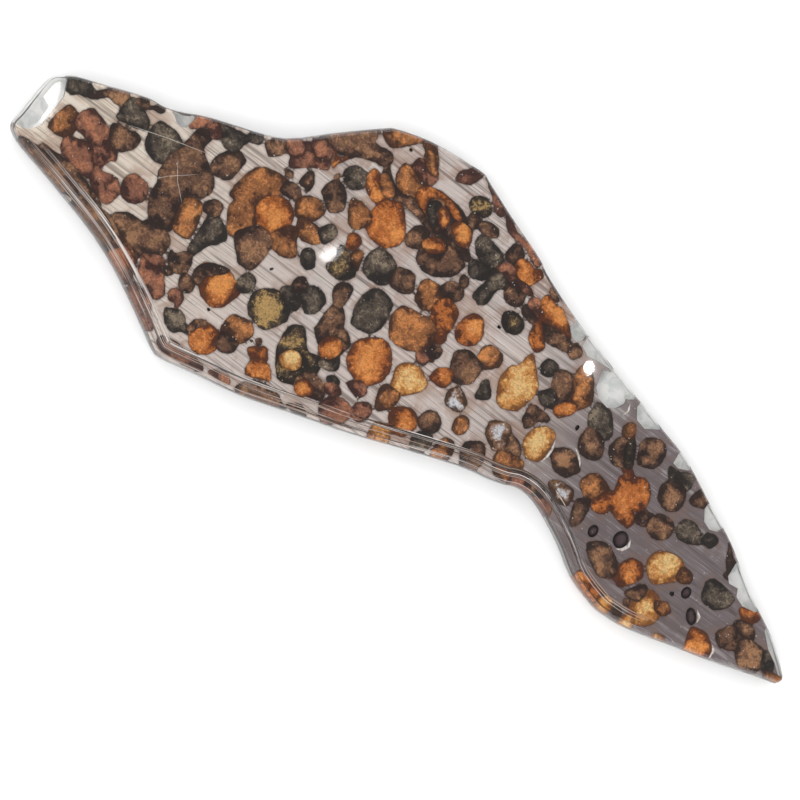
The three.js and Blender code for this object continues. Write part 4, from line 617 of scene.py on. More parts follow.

# Thin gaps of air beside crystals and pits, drawn as pale slivers whose brightness is a painted highlight:
# points along each, and its width
AIR_GAP_HIGHLIGHTS = (
    ("41.3,-6.2 41.6,-7.2 41.1,-8.2 40.2,-8.7", 0.5),
    ("56.4,-8.7 57.3,-9.4 57.5,-10.4", 0.4),
    ("25.8,0.1 26.8,-0.5 27.6,-1.2 28.1,-1.9", 0.3),
    ("22.5,-0.9 22.9,-2.2 22.9,-3.6 22.6,-4.8", 0.35),
    ("61.6,-11.7 62.3,-12.4 62.3,-13.4", 0.4),
    ("27,-7 28.4,-7.5 29.8,-8.1", 0.22),
    ("29,8.7 29.3,9.7 28.9,10.7", 0.3),
    ("-59.8,-1.5 -53.4,0.6 -47.3,2.3", 0.1),
    ("-53.2,-7.4 -50.4,-4.2 -46.8,-1.2", 0.08),
    ("-50.6,-1.2 -48.8,-3.8 -46.2,-6.2", 0.08),
)

# Heights of the slivers' undersides and tops over the core's face
RIBBON_LOW, RIBBON_HIGH = 0.005, 0.04

# Painted reflections: light and dark streaks along the bevel: how many, then the ranges of their inset, width
# and length
STREAKS = (
    (80, (0.6, 2.4), (0.04, 0.14), (4.0, 22.0)),
    (30, (2.3, 2.9), (0.05, 0.2), (8.0, 28.0)),
)

# Painted shade: dark slivers along the plain rim for its dark edge line, in the same order, and how far to
# the right it goes
EDGE_SHADE_END = 22.0
EDGE_SHADE_LINES = (
    (46, (0.45, 0.55), (0.08, 0.3), (3.0, 11.0)),
)
EDGE_SHADE_TONES = (0.0, 0.3)
STREAK_SEED = 23
EDGE_SHADE_SEED = 29

# Colours of each kind of crystal: deep, body and glow, as 8-bit screen values, and glint share
KINDS = {
    "charcoal": ((38, 32, 29), (88, 76, 66), (160, 143, 120), 0.2),
    "umber": ((46, 29, 24), (116, 82, 62), (184, 135, 96), 0.3),
    "russet": ((68, 35, 29), (150, 98, 76), (206, 136, 98), 0.2),
    "sienna": ((70, 40, 24), (158, 101, 58), (232, 154, 86), 0.4),
    "amber": ((94, 46, 20), (200, 114, 48), (246, 164, 84), 0.5),
    "honey": ((140, 84, 36), (222, 152, 76), (252, 216, 146), 0.7),
    "olive": ((34, 28, 23), (82, 66, 50), (206, 168, 104), 0.7),
    "fogged": ((64, 42, 30), (156, 112, 78), (228, 232, 238), 0.3),
}


def points_of(text):
    """Points of the slice, in millimetres, from x,y pairs on the drawn sheet."""
    return np.array([[float(v) for v in pair.split(",")] for pair in text.split()]) + SHEET_SHIFT


def area_of(points):
    """Signed area of a closed outline, positive when it runs counter-clockwise."""
    after = np.roll(points, -1, axis=0)
    return float(np.sum(points[:, 0] * after[:, 1] - after[:, 0] * points[:, 1])) / 2


def counter_clockwise(points):
    return points if area_of(points) > 0 else points[::-1]


def smooth_loop(points, spacing):
    """A closed smooth curve through the points, with samples about one spacing apart."""
    samples = []
    count = len(points)
    for i in range(count):
        p0, p1, p2, p3 = (points[(i + k - 1) % count] for k in range(4))
        steps = max(1, round(np.linalg.norm(p2 - p1) / spacing))
        t = (np.arange(steps) / steps)[:, None]
        samples.append(0.5 * (2 * p1 + (p2 - p0) * t + (2 * p0 - 5 * p1 + 4 * p2 - p3) * t**2
                              + (3 * p1 - p0 - 3 * p2 + p3) * t**3))
    return np.concatenate(samples)


def moved_out(loop, distance):
    """A counter-clockwise loop moved outwards along its own normals."""
    along = np.roll(loop, -1, axis=0) - np.roll(loop, 1, axis=0)
    along /= np.linalg.norm(along, axis=1)[:, None]
    return loop + distance * np.stack([along[:, 1], -along[:, 0]], axis=1)


def jagged(loop, seed):
    """The loop with the small uneven steps of a broken crystal edge."""
    chance = np.random.default_rng(seed)
    size = np.linalg.norm(np.roll(loop, -1, axis=0) - loop, axis=1).sum()
    share = np.arange(len(loop)) / len(loop)
    offset = np.zeros(len(loop))
    for step, reach in ((JAGGED_STEP, JAGGED_REACH), (3 * JAGGED_STEP, 1.4 * JAGGED_REACH)):
        knots = max(4, round(size / step))
        heights_there = chance.uniform(-reach, reach, knots)
        offset += np.interp(share * knots, np.arange(knots + 1), np.append(heights_there, heights_there[0]))
    along = np.roll(loop, -1, axis=0) - np.roll(loop, 1, axis=0)
    along /= np.linalg.norm(along, axis=1)[:, None]
    return loop + offset[:, None] * np.stack([along[:, 1], -along[:, 0]], axis=1)


def distance_to(points, starts, ends, chunk=2000):
    """Distance from each point to the nearest of the given straight edges."""
    along = ends - starts
    length2 = np.maximum(np.sum(along**2, axis=1), 1e-12)
    nearest = np.empty(len(points))
    for first in range(0, len(points), chunk):
        offset = points[first:first + chunk, None, :] - starts[None]
        share = np.clip(np.sum(offset * along, axis=2) / length2, 0, 1)
        gap = offset - share[..., None] * along
        nearest[first:first + chunk] = np.sqrt(np.min(np.sum(gap**2, axis=2), axis=1))
    return nearest


def distance_to_loop(points, loop):
    return distance_to(points, loop, np.roll(loop, -1, axis=0))


def inside(points, loop):
    """Which points lie inside a closed loop, by counting the edges to their right."""
    x, y = points[:, 0][:, None], points[:, 1][:, None]
    x0, y0 = loop[:, 0][None], loop[:, 1][None]
    x1, y1 = np.roll(x0, -1), np.roll(y0, -1)
    crosses = (y0 > y) != (y1 > y)
    run = np.where(y1 == y0, 1e-12, y1 - y0)
    return np.sum(crosses & (x < (x1 - x0) * (y - y0) / run + x0), axis=1) % 2 == 1


@lru_cache(maxsize=None)
def resin_outline():
    """The slice's outline, smoothed, from the corners of the resin's parting face in the frame."""
    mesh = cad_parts[RESIN_NODES[0]].data
    places = np.array([v.co for v in mesh.vertices]) / MM
    level = places[:, 2].min() + 0.01
    sides = {}
    for face in mesh.polygons:
        corners = [tuple(np.round(places[i], 3)) for i in face.vertices]
        if all(corner[2] < level for corner in corners):
            for one, other in zip(corners, corners[1:] + corners[:1]):
                sides.setdefault(frozenset((one, other)), []).append((one, other))
    follow = {one: other for pair in sides.values() if len(pair) == 1 for one, other in pair}
    loops = []
    while follow:
        start, here = follow.popitem()
        ring = [start]
        while here != start:
            ring.append(here)
            here = follow.pop(here)
        loops.append(np.array(ring)[:, :2])
    widest = max(loops, key=lambda ring: abs(area_of(ring)))
    return counter_clockwise(smooth_loop(counter_clockwise(widest), OUTLINE_SPACING))


def inset_of(loop, distance):
    """The loop moved inwards, without the points that cross over at a sharp end."""
    ring = moved_out(loop, -distance)
    return ring[distance_to_loop(ring, loop) > distance * 0.985]


@lru_cache(maxsize=None)
def heights():
    """Underside and top of the resin, and of the core inside it, in millimetres."""
    low, high = CAD_BOX
    core_low, core_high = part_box(METAL_NODE)
    return low.z / MM, high.z / MM, core_low.z / MM, core_high.z / MM


@lru_cache(maxsize=None)
def drawn_grains():
    """Every grain as its node or None, its kind and its smooth outline."""
    grains = []
    for place, members in CLUSTERS.items():
        grains += [(f"olivine_{place}", text) for text in members]
    grains += [(None, text) for text in LOOSE_GRAINS]
    made = []
    for node, text in grains:
        kind, numbers = text.split(" ", 1)
        loop = smooth_loop(counter_clockwise(points_of(numbers)), CRYSTAL_SPACING)
        made.append((node, kind, jagged(moved_out(loop, CRYSTAL_GROWTH), seed=len(made))))
    return made


def scattered(low, high, spacing, seed):
    """Staggered rows of points over a rectangle, each moved a little at random."""
    chance = np.random.default_rng(seed)
    rows = []
    for row, y in enumerate(np.arange(low[1], high[1], spacing * 0.87)):
        x = np.arange(low[0] + (row % 2) * spacing / 2, high[0], spacing)
        rows.append(np.stack([x, np.full(len(x), y)], axis=1))
    points = np.concatenate(rows)
    return points + chance.uniform(-0.2, 0.2, points.shape) * spacing


@lru_cache(maxsize=None)
def core_face():
    """The core's face cut into grains, metal and chips: points, triangles, each triangle's owner."""
    core = inset_of(resin_outline(), CORE_INSET)
    chips = [counter_clockwise(points_of(text)) for text in EDGE_CHIPS]
    grains = [loop for _, _, loop in drawn_grains()]
    rings = [core] + chips + grains
    for x, y, length, width, turn in PITS:
        rings.append(pit_ring(x, y, length, width, turn, 1.0))
    filling = scattered(core.min(axis=0), core.max(axis=0), FACE_SPACING, seed=5)
    filling = filling[inside(filling, core)]
    filling = filling[distance_to_loop(filling, core) > 0.15]
    points, faces = [], []
    for ring in rings:
        faces.append(list(range(len(points), len(points) + len(ring))))
        points += [tuple(point) for point in ring]
    points += [tuple(point) for point in filling]
    found = delaunay_2d_cdt([Vector(p) for p in points], [], faces, 1, 1e-5)
    places = np.array([tuple(p) for p in found[0]])
    triangles, owners = [], []
    first_chip, first_grain = 1, 1 + len(chips)
    first_pit = first_grain + len(grains)
    for corners, sources in zip(found[2], found[5]):
        if 0 not in sources:
            continue
        mine = [s - first_grain for s in sources if first_grain <= s < first_pit]
        triangles.append(corners)
        if any(first_chip <= s < first_grain for s in sources):
            owners.append(CHIP)
        else:
            owners.append(max(mine) if mine else METAL)
    return places, np.array(triangles), np.array(owners)


def pit_ring(x, y, length, width, turn, size, steps=20):
    """An oval around a pit, counter-clockwise, in millimetres of the slice."""
    angle = np.linspace(0, 2 * np.pi, steps, endpoint=False)
    along, across = size * length * np.cos(angle), size * width * np.sin(angle)
    c, s = math.cos(math.radians(turn)), math.sin(math.radians(turn))
    ring = np.stack([x + along * c - across * s, y + along * s + across * c], axis=1)
    return ring + SHEET_SHIFT


def spot_field(points):
    """How light or dark the listed places make each point, from -1 to 1."""
    field = np.zeros(len(points))
    for x, y, length, width, turn, strength in GLOW_SPOTS:
        offset = points - SHEET_SHIFT - np.array([x, y])
        c, s = math.cos(math.radians(turn)), math.sin(math.radians(turn))
        along = (offset[:, 0] * c + offset[:, 1] * s) / length
        across = (offset[:, 1] * c - offset[:, 0] * s) / width
        field += strength * np.exp(-(along**2 + across**2))
    return np.clip(field, -1, 1)


def pit_depth(points):
    """How deep each point lies in a pit, from 0 at the polished face to 1."""
    depth = np.zeros(len(points))
    for x, y, length, width, turn in PITS:
        offset = points - SHEET_SHIFT - np.array([x, y])
        c, s = math.cos(math.radians(turn)), math.sin(math.radians(turn))
        along = (offset[:, 0] * c + offset[:, 1] * s) / length
        across = (offset[:, 1] * c - offset[:, 0] * s) / width
        depth = np.maximum(depth, 1 - along**2 - across**2)
    return np.clip(depth, 0, 1)


def new_object(name, vertices, faces, smooth=False):
    """A mesh object from vertices in millimetres and faces."""
    mesh = bpy.data.meshes.new(name)
    mesh.from_pydata((np.asarray(vertices) * MM).tolist(), [], [list(map(int, face)) for face in faces])
    mesh.update()
    if smooth:
        mesh.shade_smooth()
    thing = bpy.data.objects.new(name, mesh)
    bpy.context.scene.collection.objects.link(thing)
    return thing


def add_attribute(thing, name, values):
    layer = thing.data.attributes.new(name, "FLOAT", "POINT")
    layer.data.foreach_set("value", np.asarray(values, dtype=np.float32))


def open_sides(triangles):
    """Edges that only one of the triangles has, in the direction it runs round."""
    sides = {}
    for a, b, c in triangles:
        for one, other in ((a, b), (b, c), (c, a)):
            if (other, one) in sides:
                del sides[(other, one)]
            else:
                sides[(one, other)] = True
    return np.array(list(sides))


@lru_cache(maxsize=None)
def outer_edge_distance():
    """Distance of each point of the core's face to the core's own outer edge."""
    places, triangles, owners = core_face()
    sides = open_sides([tuple(t) for t in triangles[owners > CHIP]])
    return distance_to(places, places[sides[:, 0]], places[sides[:, 1]])


def slab(places, triangles, low, high):
    """A closed slab over flat triangles: vertices, faces and which flat place each vertex has."""
    used, corners = np.unique(triangles, return_inverse=True)
    corners = corners.reshape(-1, 3)
    count = len(used)
    flat = places[used]
    depth = pit_depth(flat)
    top = np.column_stack([flat, high - PIT_DEPTH * depth])
    bottom = np.column_stack([flat, np.full(count, low)])
    sides = open_sides([tuple(t) for t in corners])
    walls = [(one, one + count, other + count, other) for one, other in sides]
    faces = [tuple(t) for t in corners] + [(a + count, c + count, b + count) for a, b, c in corners]
    inner = outer_edge_distance()[used[sides]].max(axis=1) > 0.02
    edge_starts, edge_ends = flat[sides[inner, 0]], flat[sides[inner, 1]]
    rim = distance_to(flat, edge_starts, edge_ends) if inner.any() else np.full(count, 5.0)
    return np.concatenate([top, bottom]), faces + walls, used, rim


def joined_slabs(name, groups, low=None, high=None):
    """One object from slabs, each a set of flat triangles with a random number of its own."""
    places, _, _ = core_face()
    if high is None:
        _, _, low, high = heights()
    vertices, faces, rims, numbers, spots, pits = [], [], [], [], [], []
    start = 0
    for number, triangles in groups:
        some, some_faces, used, rim = slab(places, triangles, low, high)
        vertices.append(some)
        faces += [tuple(i + start for i in face) for face in some_faces]
        start += len(some)
        rims += [rim, rim]
        numbers.append(np.full(len(some), number))
        spots += [spot_field(places[used])] * 2
        pits += [pit_depth(places[used]), np.zeros(len(used))]
    thing = new_object(name, np.concatenate(vertices), faces)
    add_attribute(thing, "rim", np.concatenate(rims))
    add_attribute(thing, "grain", np.concatenate(numbers))
    add_attribute(thing, "spot", np.concatenate(spots))
    add_attribute(thing, "pit", np.concatenate(pits))
    return thing


def screen(red, green, blue):
    """A scene colour from 8-bit screen values."""
    def linear(value):
        value /= 255
        return value / 12.92 if value <= 0.04045 else ((value + 0.055) / 1.055) ** 2.4
    return (linear(red), linear(green), linear(blue), 1.0)


class Graph:
    """Adds and joins the nodes of one node tree."""

    def __init__(self, tree):
        self.tree = tree

    def add(self, kind, inputs=None, **settings):
        node = self.tree.nodes.new(kind)
        for key, value in settings.items():
            setattr(node, key, value)
        for key, value in (inputs or {}).items():
            self.feed(value, node.inputs[key])
        return node

    def feed(self, value, socket):
        if isinstance(value, bpy.types.NodeSocket):
            self.tree.links.new(value, socket)
        else:
            socket.default_value = value

    def math(self, operation, one, other=0.0, third=0.0):
        return self.add("ShaderNodeMath", {0: one, 1: other, 2: third}, operation=operation).outputs[0]

    def ramp(self, value, low, high, start=0.0, end=1.0):
        """A smooth step from start to end while value runs from low to high."""
        names = {"Value": value, "From Min": low, "From Max": high, "To Min": start, "To Max": end}
        return self.add("ShaderNodeMapRange", names, interpolation_type="SMOOTHSTEP").outputs[0]

    def mix(self, share, one, other, blend="MIX"):
        node = self.add("ShaderNodeMix", data_type="RGBA", blend_type=blend, clamp_factor=True)
        self.feed(share, node.inputs[0])
        self.feed(one, node.inputs[6])
        self.feed(other, node.inputs[7])
        return node.outputs[2]

    def upright(self):
        """1 where the surface faces straight up or down, 0 on an upright wall."""
        normal = self.add("ShaderNodeSeparateXYZ", {0: self.add("ShaderNodeTexCoord").outputs["Normal"]})
        return self.math("ABSOLUTE", normal.outputs[2])

    def read(self, name):
        return self.add("ShaderNodeAttribute", attribute_name=name).outputs["Fac"]

    def noise(self, place, scale, detail=3.0, rough=0.55, twist=0.0):
        names = {"Vector": place, "Scale": scale, "Detail": detail, "Roughness": rough, "Distortion": twist}
        return self.add("ShaderNodeTexNoise", names).outputs["Fac"]


def new_group(name, inputs, outputs):
    """An empty shader group with named sockets, its graph, its input node and its output node."""
    tree = bpy.data.node_groups.new(name, "ShaderNodeTree")
    for label, kind, value in inputs:
        socket = tree.interface.new_socket(label, in_out="INPUT", socket_type=kind)
        if value is not None:
            socket.default_value = value
    for label, kind in outputs:
        tree.interface.new_socket(label, in_out="OUTPUT", socket_type=kind)
    graph = Graph(tree)
    return tree, graph, graph.add("NodeGroupInput"), graph.add("NodeGroupOutput")


@lru_cache(maxsize=None)
def olivine_group():
    """Shader group of a polished olivine crystal: patches, cracks, cleavage flashes, a thin dark line at its
    edge, painted shade inside its rim and on its sides, painted light towards its heart.
    """
    tree, g, given, made = new_group(
        "Polished olivine",
        [("Deep", "NodeSocketColor", None), ("Body", "NodeSocketColor", None),
         ("Glow", "NodeSocketColor", None), ("Place", "NodeSocketVector", None),
         ("Grain", "NodeSocketFloat", 0.0), ("Rim", "NodeSocketFloat", 1.0),
         ("Spot", "NodeSocketFloat", 0.0), ("Flash", "NodeSocketFloat", 0.2),
         ("Upright", "NodeSocketFloat", 1.0)],
        [("Color", "NodeSocketColor"), ("Roughness", "NodeSocketFloat"), ("Height", "NodeSocketFloat")])
    shift = g.add("ShaderNodeCombineXYZ", {0: g.math("MULTIPLY", given.outputs["Grain"], 0.71),
                                           1: g.math("MULTIPLY", given.outputs["Grain"], 0.37), 2: 0.0})
    place = g.add("ShaderNodeVectorMath", {0: given.outputs["Place"], 1: shift.outputs[0]},
                  operation="ADD").outputs[0]
    broad = g.math("SUBTRACT", g.noise(place, 330.0, 2.0, 0.5, 0.4), 0.5)
    patch = g.math("SUBTRACT", g.noise(place, 1050.0, 5.0, 0.68, 1.0), 0.5)
    grit = g.noise(place, 3400.0, 3.0, 0.65)
    rim = g.math("MULTIPLY_ADD", patch, 2.2, given.outputs["Rim"])
    rim = g.math("MULTIPLY_ADD", broad, 4.5, rim)
    mottle = g.math("SUBTRACT", g.noise(place, 2000.0, 3.0, 0.5, 1.2), 0.5)
    light = g.math("MULTIPLY_ADD", broad, 2.4, g.math("MULTIPLY", patch, 3.6))
    light = g.math("MULTIPLY_ADD", mottle, 2.2, light)
    light = g.math("MULTIPLY_ADD", given.outputs["Spot"], 1.2, light)
    # Painted light and shade: lighter towards the crystal's heart, darker towards its rim.
    light = g.math("ADD", g.ramp(rim, 0.2, 1.6, -0.25, 0.3), light)
    own = g.math("FRACT", g.math("MULTIPLY", given.outputs["Grain"], 17.0))
    light = g.math("MULTIPLY_ADD", g.math("SUBTRACT", own, 0.5), 0.4, light)
    colour = g.mix(g.ramp(light, 0.05, 1.2), given.outputs["Body"], given.outputs["Glow"])
    colour = g.mix(g.ramp(light, 0.0, -1.1), colour, given.outputs["Deep"])
    vein = g.math("ABSOLUTE", g.math("SUBTRACT", g.noise(place, 430.0, 5.0, 0.65, 2.0), 0.5))
    crack = g.ramp(vein, 0.0, 0.02, 1.0, 0.0)
    colour = g.mix(g.math("MULTIPLY", crack, 0.4), colour, given.outputs["Deep"])
    grain = g.ramp(grit, 0.3, 0.7, 0.82, 1.16)
    grain_as_colour = g.add("ShaderNodeCombineXYZ", {0: grain, 1: grain, 2: grain}).outputs[0]
    colour = g.mix(1.0, colour, grain_as_colour, "MULTIPLY")
    fleck = g.ramp(g.noise(place, 1500.0, 5.0, 0.7, 1.6), 0.56, 0.66)
    fleck = g.math("MULTIPLY", g.math("MULTIPLY", fleck, given.outputs["Flash"]), g.ramp(light, -0.5, 0.6))
    colour = g.mix(fleck, colour, g.mix(0.3, given.outputs["Glow"], (1.0, 0.8, 0.42, 1.0)))
    dark = g.mix(1.0, given.outputs["Deep"], (0.72, 0.66, 0.66, 1.0), "MULTIPLY")
    # Painted shade: a wide, uneven dark band inside the crystal's rim.
    colour = g.mix(g.ramp(rim, 0.0, 0.85, 0.85, 0.0), colour, dark)
    near_rim = g.ramp(given.outputs["Rim"], 0.06, 0.2, 1.0, 0.0)
    edge = g.math("MULTIPLY", near_rim, g.ramp(broad, -0.1, 0.06, 0.9, 0.35))
    colour = g.mix(edge, colour, dark)
    # Painted shade: the upright sides are darkened.
    side = g.ramp(given.outputs["Upright"], 0.3, 0.7, 0.7, 0.0)
    colour = g.mix(side, colour, dark)
    g.feed(colour, made.inputs["Color"])
    g.feed(g.ramp(crack, 0.0, 1.0, 0.3, 0.5), made.inputs["Roughness"])
    g.feed(g.math("SUBTRACT", grit, crack), made.inputs["Height"])
    return tree


@lru_cache(maxsize=None)
def ground_metal_group():
    """Shader group of ground iron-nickel: fine lines along X, painted light along the slice, rust film and
    dark joints at the crystals, painted shade around them, in pits and on upright walls.
    """
    tree, g, given, made = new_group(
        "Ground metal",
        [("Warm", "NodeSocketColor", None), ("Middle", "NodeSocketColor", None),
         ("Cool", "NodeSocketColor", None),
         ("Place", "NodeSocketVector", None), ("Rim", "NodeSocketFloat", 1.0),
         ("Pit", "NodeSocketFloat", 0.0), ("Upright", "NodeSocketFloat", 1.0)],
        [("Color", "NodeSocketColor"), ("Roughness", "NodeSocketFloat"), ("Height", "NodeSocketFloat")])
    place = given.outputs["Place"]
    apart = g.add("ShaderNodeSeparateXYZ", {0: place})
    # Painted light: the metal runs from a lit, warm colour at the blunt end through the middle to a darker,
    # cool colour at the pointed end.
    to_middle = g.ramp(apart.outputs[0], -0.07, -0.02)
    to_cool = g.ramp(apart.outputs[0], 0.006, 0.034)
    turned = (0.0, 0.0, math.radians(2.0))
    wide = g.add("ShaderNodeMapping", {"Vector": place, "Rotation": turned, "Scale": (26.0, 1100.0, 300.0)})
    thin = g.add("ShaderNodeMapping", {"Vector": place, "Rotation": turned, "Scale": (80.0, 4600.0, 300.0)})
    bands = g.noise(wide.outputs[0], 1.0, 3.0, 0.7)
    lines = g.noise(thin.outputs[0], 1.0, 3.0, 0.7)
    cloud = g.noise(place, 190.0, 3.0, 0.6, 0.6)
    colour = g.mix(to_middle, given.outputs["Warm"], given.outputs["Middle"])
    colour = g.mix(to_cool, colour, given.outputs["Cool"])
    shade = g.mix(1.0, colour, (0.3, 0.26, 0.24, 1.0), "MULTIPLY")
    bright = g.mix(0.6, colour, screen(255, 252, 248))
    plain = colour
    colour = g.mix(g.ramp(bands, 0.45, 0.32, 0.0, 0.75), colour, bright)
    colour = g.mix(g.ramp(bands, 0.52, 0.66, 0.0, 0.75), colour, shade)
    colour = g.mix(g.ramp(lines, 0.53, 0.67, 0.0, 0.7), colour, shade)
    colour = g.mix(g.ramp(lines, 0.44, 0.32, 0.0, 0.65), colour, bright)
    calm = g.math("MULTIPLY", to_cool, g.ramp(cloud, 0.42, 0.6, 0.35, 0.85))
    colour = g.mix(calm, colour, g.mix(g.ramp(cloud, 0.36, 0.64, 0.0, 0.3), plain, shade))
    by_rim = g.ramp(given.outputs["Rim"], 0.4, 1.6, 1.0, 0.25)
    near = g.math("MULTIPLY", by_rim, g.ramp(to_cool, 0.0, 1.0, 0.9, 0.35))
    film = g.math("MULTIPLY", g.ramp(cloud, 0.5, 0.64, 0.0, 0.6), near)
    colour = g.mix(film, colour, screen(176, 136, 110))
    # Painted shade: a wide soft darkening of the metal around each crystal; the thin near-black line right at
    # the crystal is the dark joint.
    past_rim = g.math("SUBTRACT", given.outputs["Rim"], 0.22)
    uneven = g.math("MULTIPLY_ADD", g.noise(place, 1400.0, 3.0), 0.4, past_rim)
    colour = g.mix(g.ramp(uneven, 0.0, 0.42, 0.36, 0.0), colour, screen(116, 92, 80))
    colour = g.mix(g.ramp(uneven, -0.04, 0.12, 0.9, 0.0), colour, screen(62, 46, 40))
    # Painted shade: the pits are darkened, darkest a little inside their edge and lighter towards the middle.
    pit = g.mix(g.ramp(given.outputs["Pit"], 0.3, 0.9), screen(30, 24, 24), screen(86, 68, 70))
    colour = g.mix(g.ramp(given.outputs["Pit"], 0.0, 0.2), colour, pit)
    # Painted shade: the upright walls get dark and light streaks across the thickness, dark enough to stand
    # for the dark line at the slice's edge.
    saw = g.add("ShaderNodeMapping", {"Vector": place, "Scale": (50.0, 50.0, 2400.0)})
    saw_lines = g.noise(saw.outputs[0], 1.0, 3.0, 0.7)
    wall = g.mix(g.ramp(saw_lines, 0.42, 0.62), screen(40, 34, 33), screen(206, 198, 192))
    colour = g.mix(g.ramp(given.outputs["Upright"], 0.3, 0.7, 1.0, 0.0), colour, wall)
    g.feed(colour, made.inputs["Color"])
    g.feed(g.ramp(lines, 0.3, 0.7, 0.38, 0.5), made.inputs["Roughness"])
    g.feed(lines, made.inputs["Height"])
    return tree


def new_material(name):
    material = bpy.data.materials.new(name)
    material.use_nodes = True
    material.node_tree.nodes.clear()
    graph = Graph(material.node_tree)
    surface = graph.add("ShaderNodeBsdfPrincipled")
    output = graph.add("ShaderNodeOutputMaterial", {"Surface": surface.outputs[0]})
    return material, graph, surface, output


def bump(graph, height, surface, distance, strength=1.0):
    node = graph.add("ShaderNodeBump", {"Height": height, "Distance": distance, "Strength": strength})
    graph.feed(node.outputs[0], surface.inputs["Normal"])


def olivine_material(kind):
    deep, body, glow, flash = KINDS[kind]
    material, g, surface, _ = new_material(f"olivine {kind}")
    group = g.add("ShaderNodeGroup", node_tree=olivine_group())
    place = g.add("ShaderNodeTexCoord").outputs["Object"]
    names = {"Deep": screen(*deep), "Body": screen(*body), "Glow": screen(*glow), "Place": place,
             "Grain": g.read("grain"), "Rim": g.read("rim"), "Spot": g.read("spot"), "Flash": flash,
             "Upright": g.upright()}
    for name, value in names.items():
        g.feed(value, group.inputs[name])
    g.feed(group.outputs["Color"], surface.inputs["Base Color"])
    g.feed(group.outputs["Roughness"], surface.inputs["Roughness"])
    bump(g, group.outputs["Height"], surface, 0.02 * MM)
    return material


def metal_material(settings):
    material, g, surface, _ = new_material("ground iron-nickel")
    group = g.add("ShaderNodeGroup", node_tree=ground_metal_group())
    names = {"Warm": (*settings.metal_warm, 1.0), "Middle": (*settings.metal_middle, 1.0),
             "Cool": (*settings.metal_cool, 1.0),
             "Place": g.add("ShaderNodeTexCoord").outputs["Object"],
             "Rim": g.read("rim"), "Pit": g.read("pit"), "Upright": g.upright()}
    for name, value in names.items():
        g.feed(value, group.inputs[name])
    g.feed(group.outputs["Color"], surface.inputs["Base Color"])
    g.feed(group.outputs["Roughness"], surface.inputs["Roughness"])
    surface.inputs["Metallic"].default_value = 0.4
    bump(g, group.outputs["Height"], surface, 0.01 * MM)
    return material


def resin_material(settings):
    material, g, surface, output = new_material("clear resin")
    surface.inputs["Base Color"].default_value = (1.0, 1.0, 1.0, 1.0)
    surface.inputs["Roughness"].default_value = 0.015
    surface.inputs["IOR"].default_value = settings.resin_ior
    surface.inputs["Transmission Weight"].default_value = 1.0
    absorption = g.add("ShaderNodeVolumeAbsorption", {"Color": (0.96, 0.94, 0.88, 1.0), "Density": 12.0})
    g.feed(absorption.outputs[0], output.inputs["Volume"])
    place = g.add("ShaderNodeTexCoord").outputs["Object"]
    bump(g, g.noise(place, 60.0, 1.0), surface, 0.03 * MM)
    return material


def gap_highlight_material():
    material, g, surface, _ = new_material("painted gap highlight")
    place = g.add("ShaderNodeTexCoord").outputs["Object"]
    streak = g.noise(place, 2200.0, 2.0)
    # Painted highlight: near-white to pale tan streaks for the light the gaps catch.
    colour = g.mix(g.ramp(streak, 0.35, 0.7), screen(250, 248, 244), screen(206, 190, 170))
    g.feed(colour, surface.inputs["Base Color"])
    surface.inputs["Roughness"].default_value = 0.25
    return material


def backlight_fill_material():
    material, g, surface, _ = new_material("painted backlight fill")
    place = g.add("ShaderNodeTexCoord").outputs["Object"]
    cloud = g.noise(place, 420.0, 3.0, 0.6, 0.6)
    # Painted light: near-white with pale grey clouds, for light shining through the clear chips.
    colour = g.mix(g.ramp(cloud, 0.42, 0.64), screen(255, 255, 253), screen(226, 230, 228))
    # Painted shade: darker towards each chip's rim.
    wavering = g.math("MULTIPLY_ADD", g.math("SUBTRACT", cloud, 0.5), 0.5, g.read("rim"))
    edge = g.ramp(wavering, 0.0, 0.3, 0.8, 0.0)
    g.feed(g.mix(edge, colour, screen(96, 92, 88)), surface.inputs["Base Color"])
    surface.inputs["Roughness"].default_value = 0.3
    return material


def speck_material():
    material, g, surface, _ = new_material("speck")
    place = g.add("ShaderNodeTexCoord").outputs["Object"]
    g.feed(g.mix(g.ramp(g.noise(place, 700.0, 1.0), 0.4, 0.6), screen(176, 160, 146), screen(244, 240, 234)),
           surface.inputs["Base Color"])
    surface.inputs["Roughness"].default_value = 0.5
    return material


def painted_streak_material():
    material, g, surface, _ = new_material("painted rim streak")
    tone = g.read("tone")
    # Painted reflection and shade: dark brown through tan to near-white by each sliver's tone.
    colour = g.mix(g.ramp(tone, 0.1, 0.4), screen(74, 54, 48), screen(186, 160, 142))
    colour = g.mix(g.ramp(tone, 0.4, 0.9), colour, screen(250, 244, 240))
    g.feed(colour, surface.inputs["Base Color"])
    surface.inputs["Roughness"].default_value = 0.4
    return material


def glint_material():
    material, g, surface, _ = new_material("cleavage glint")
    place = g.add("ShaderNodeTexCoord").outputs["Object"]
    tone = g.noise(place, 900.0, 1.0)
    g.feed(g.mix(tone, screen(208, 158, 84), screen(244, 214, 150)), surface.inputs["Base Color"])
    surface.inputs["Roughness"].default_value = 0.2
    return material


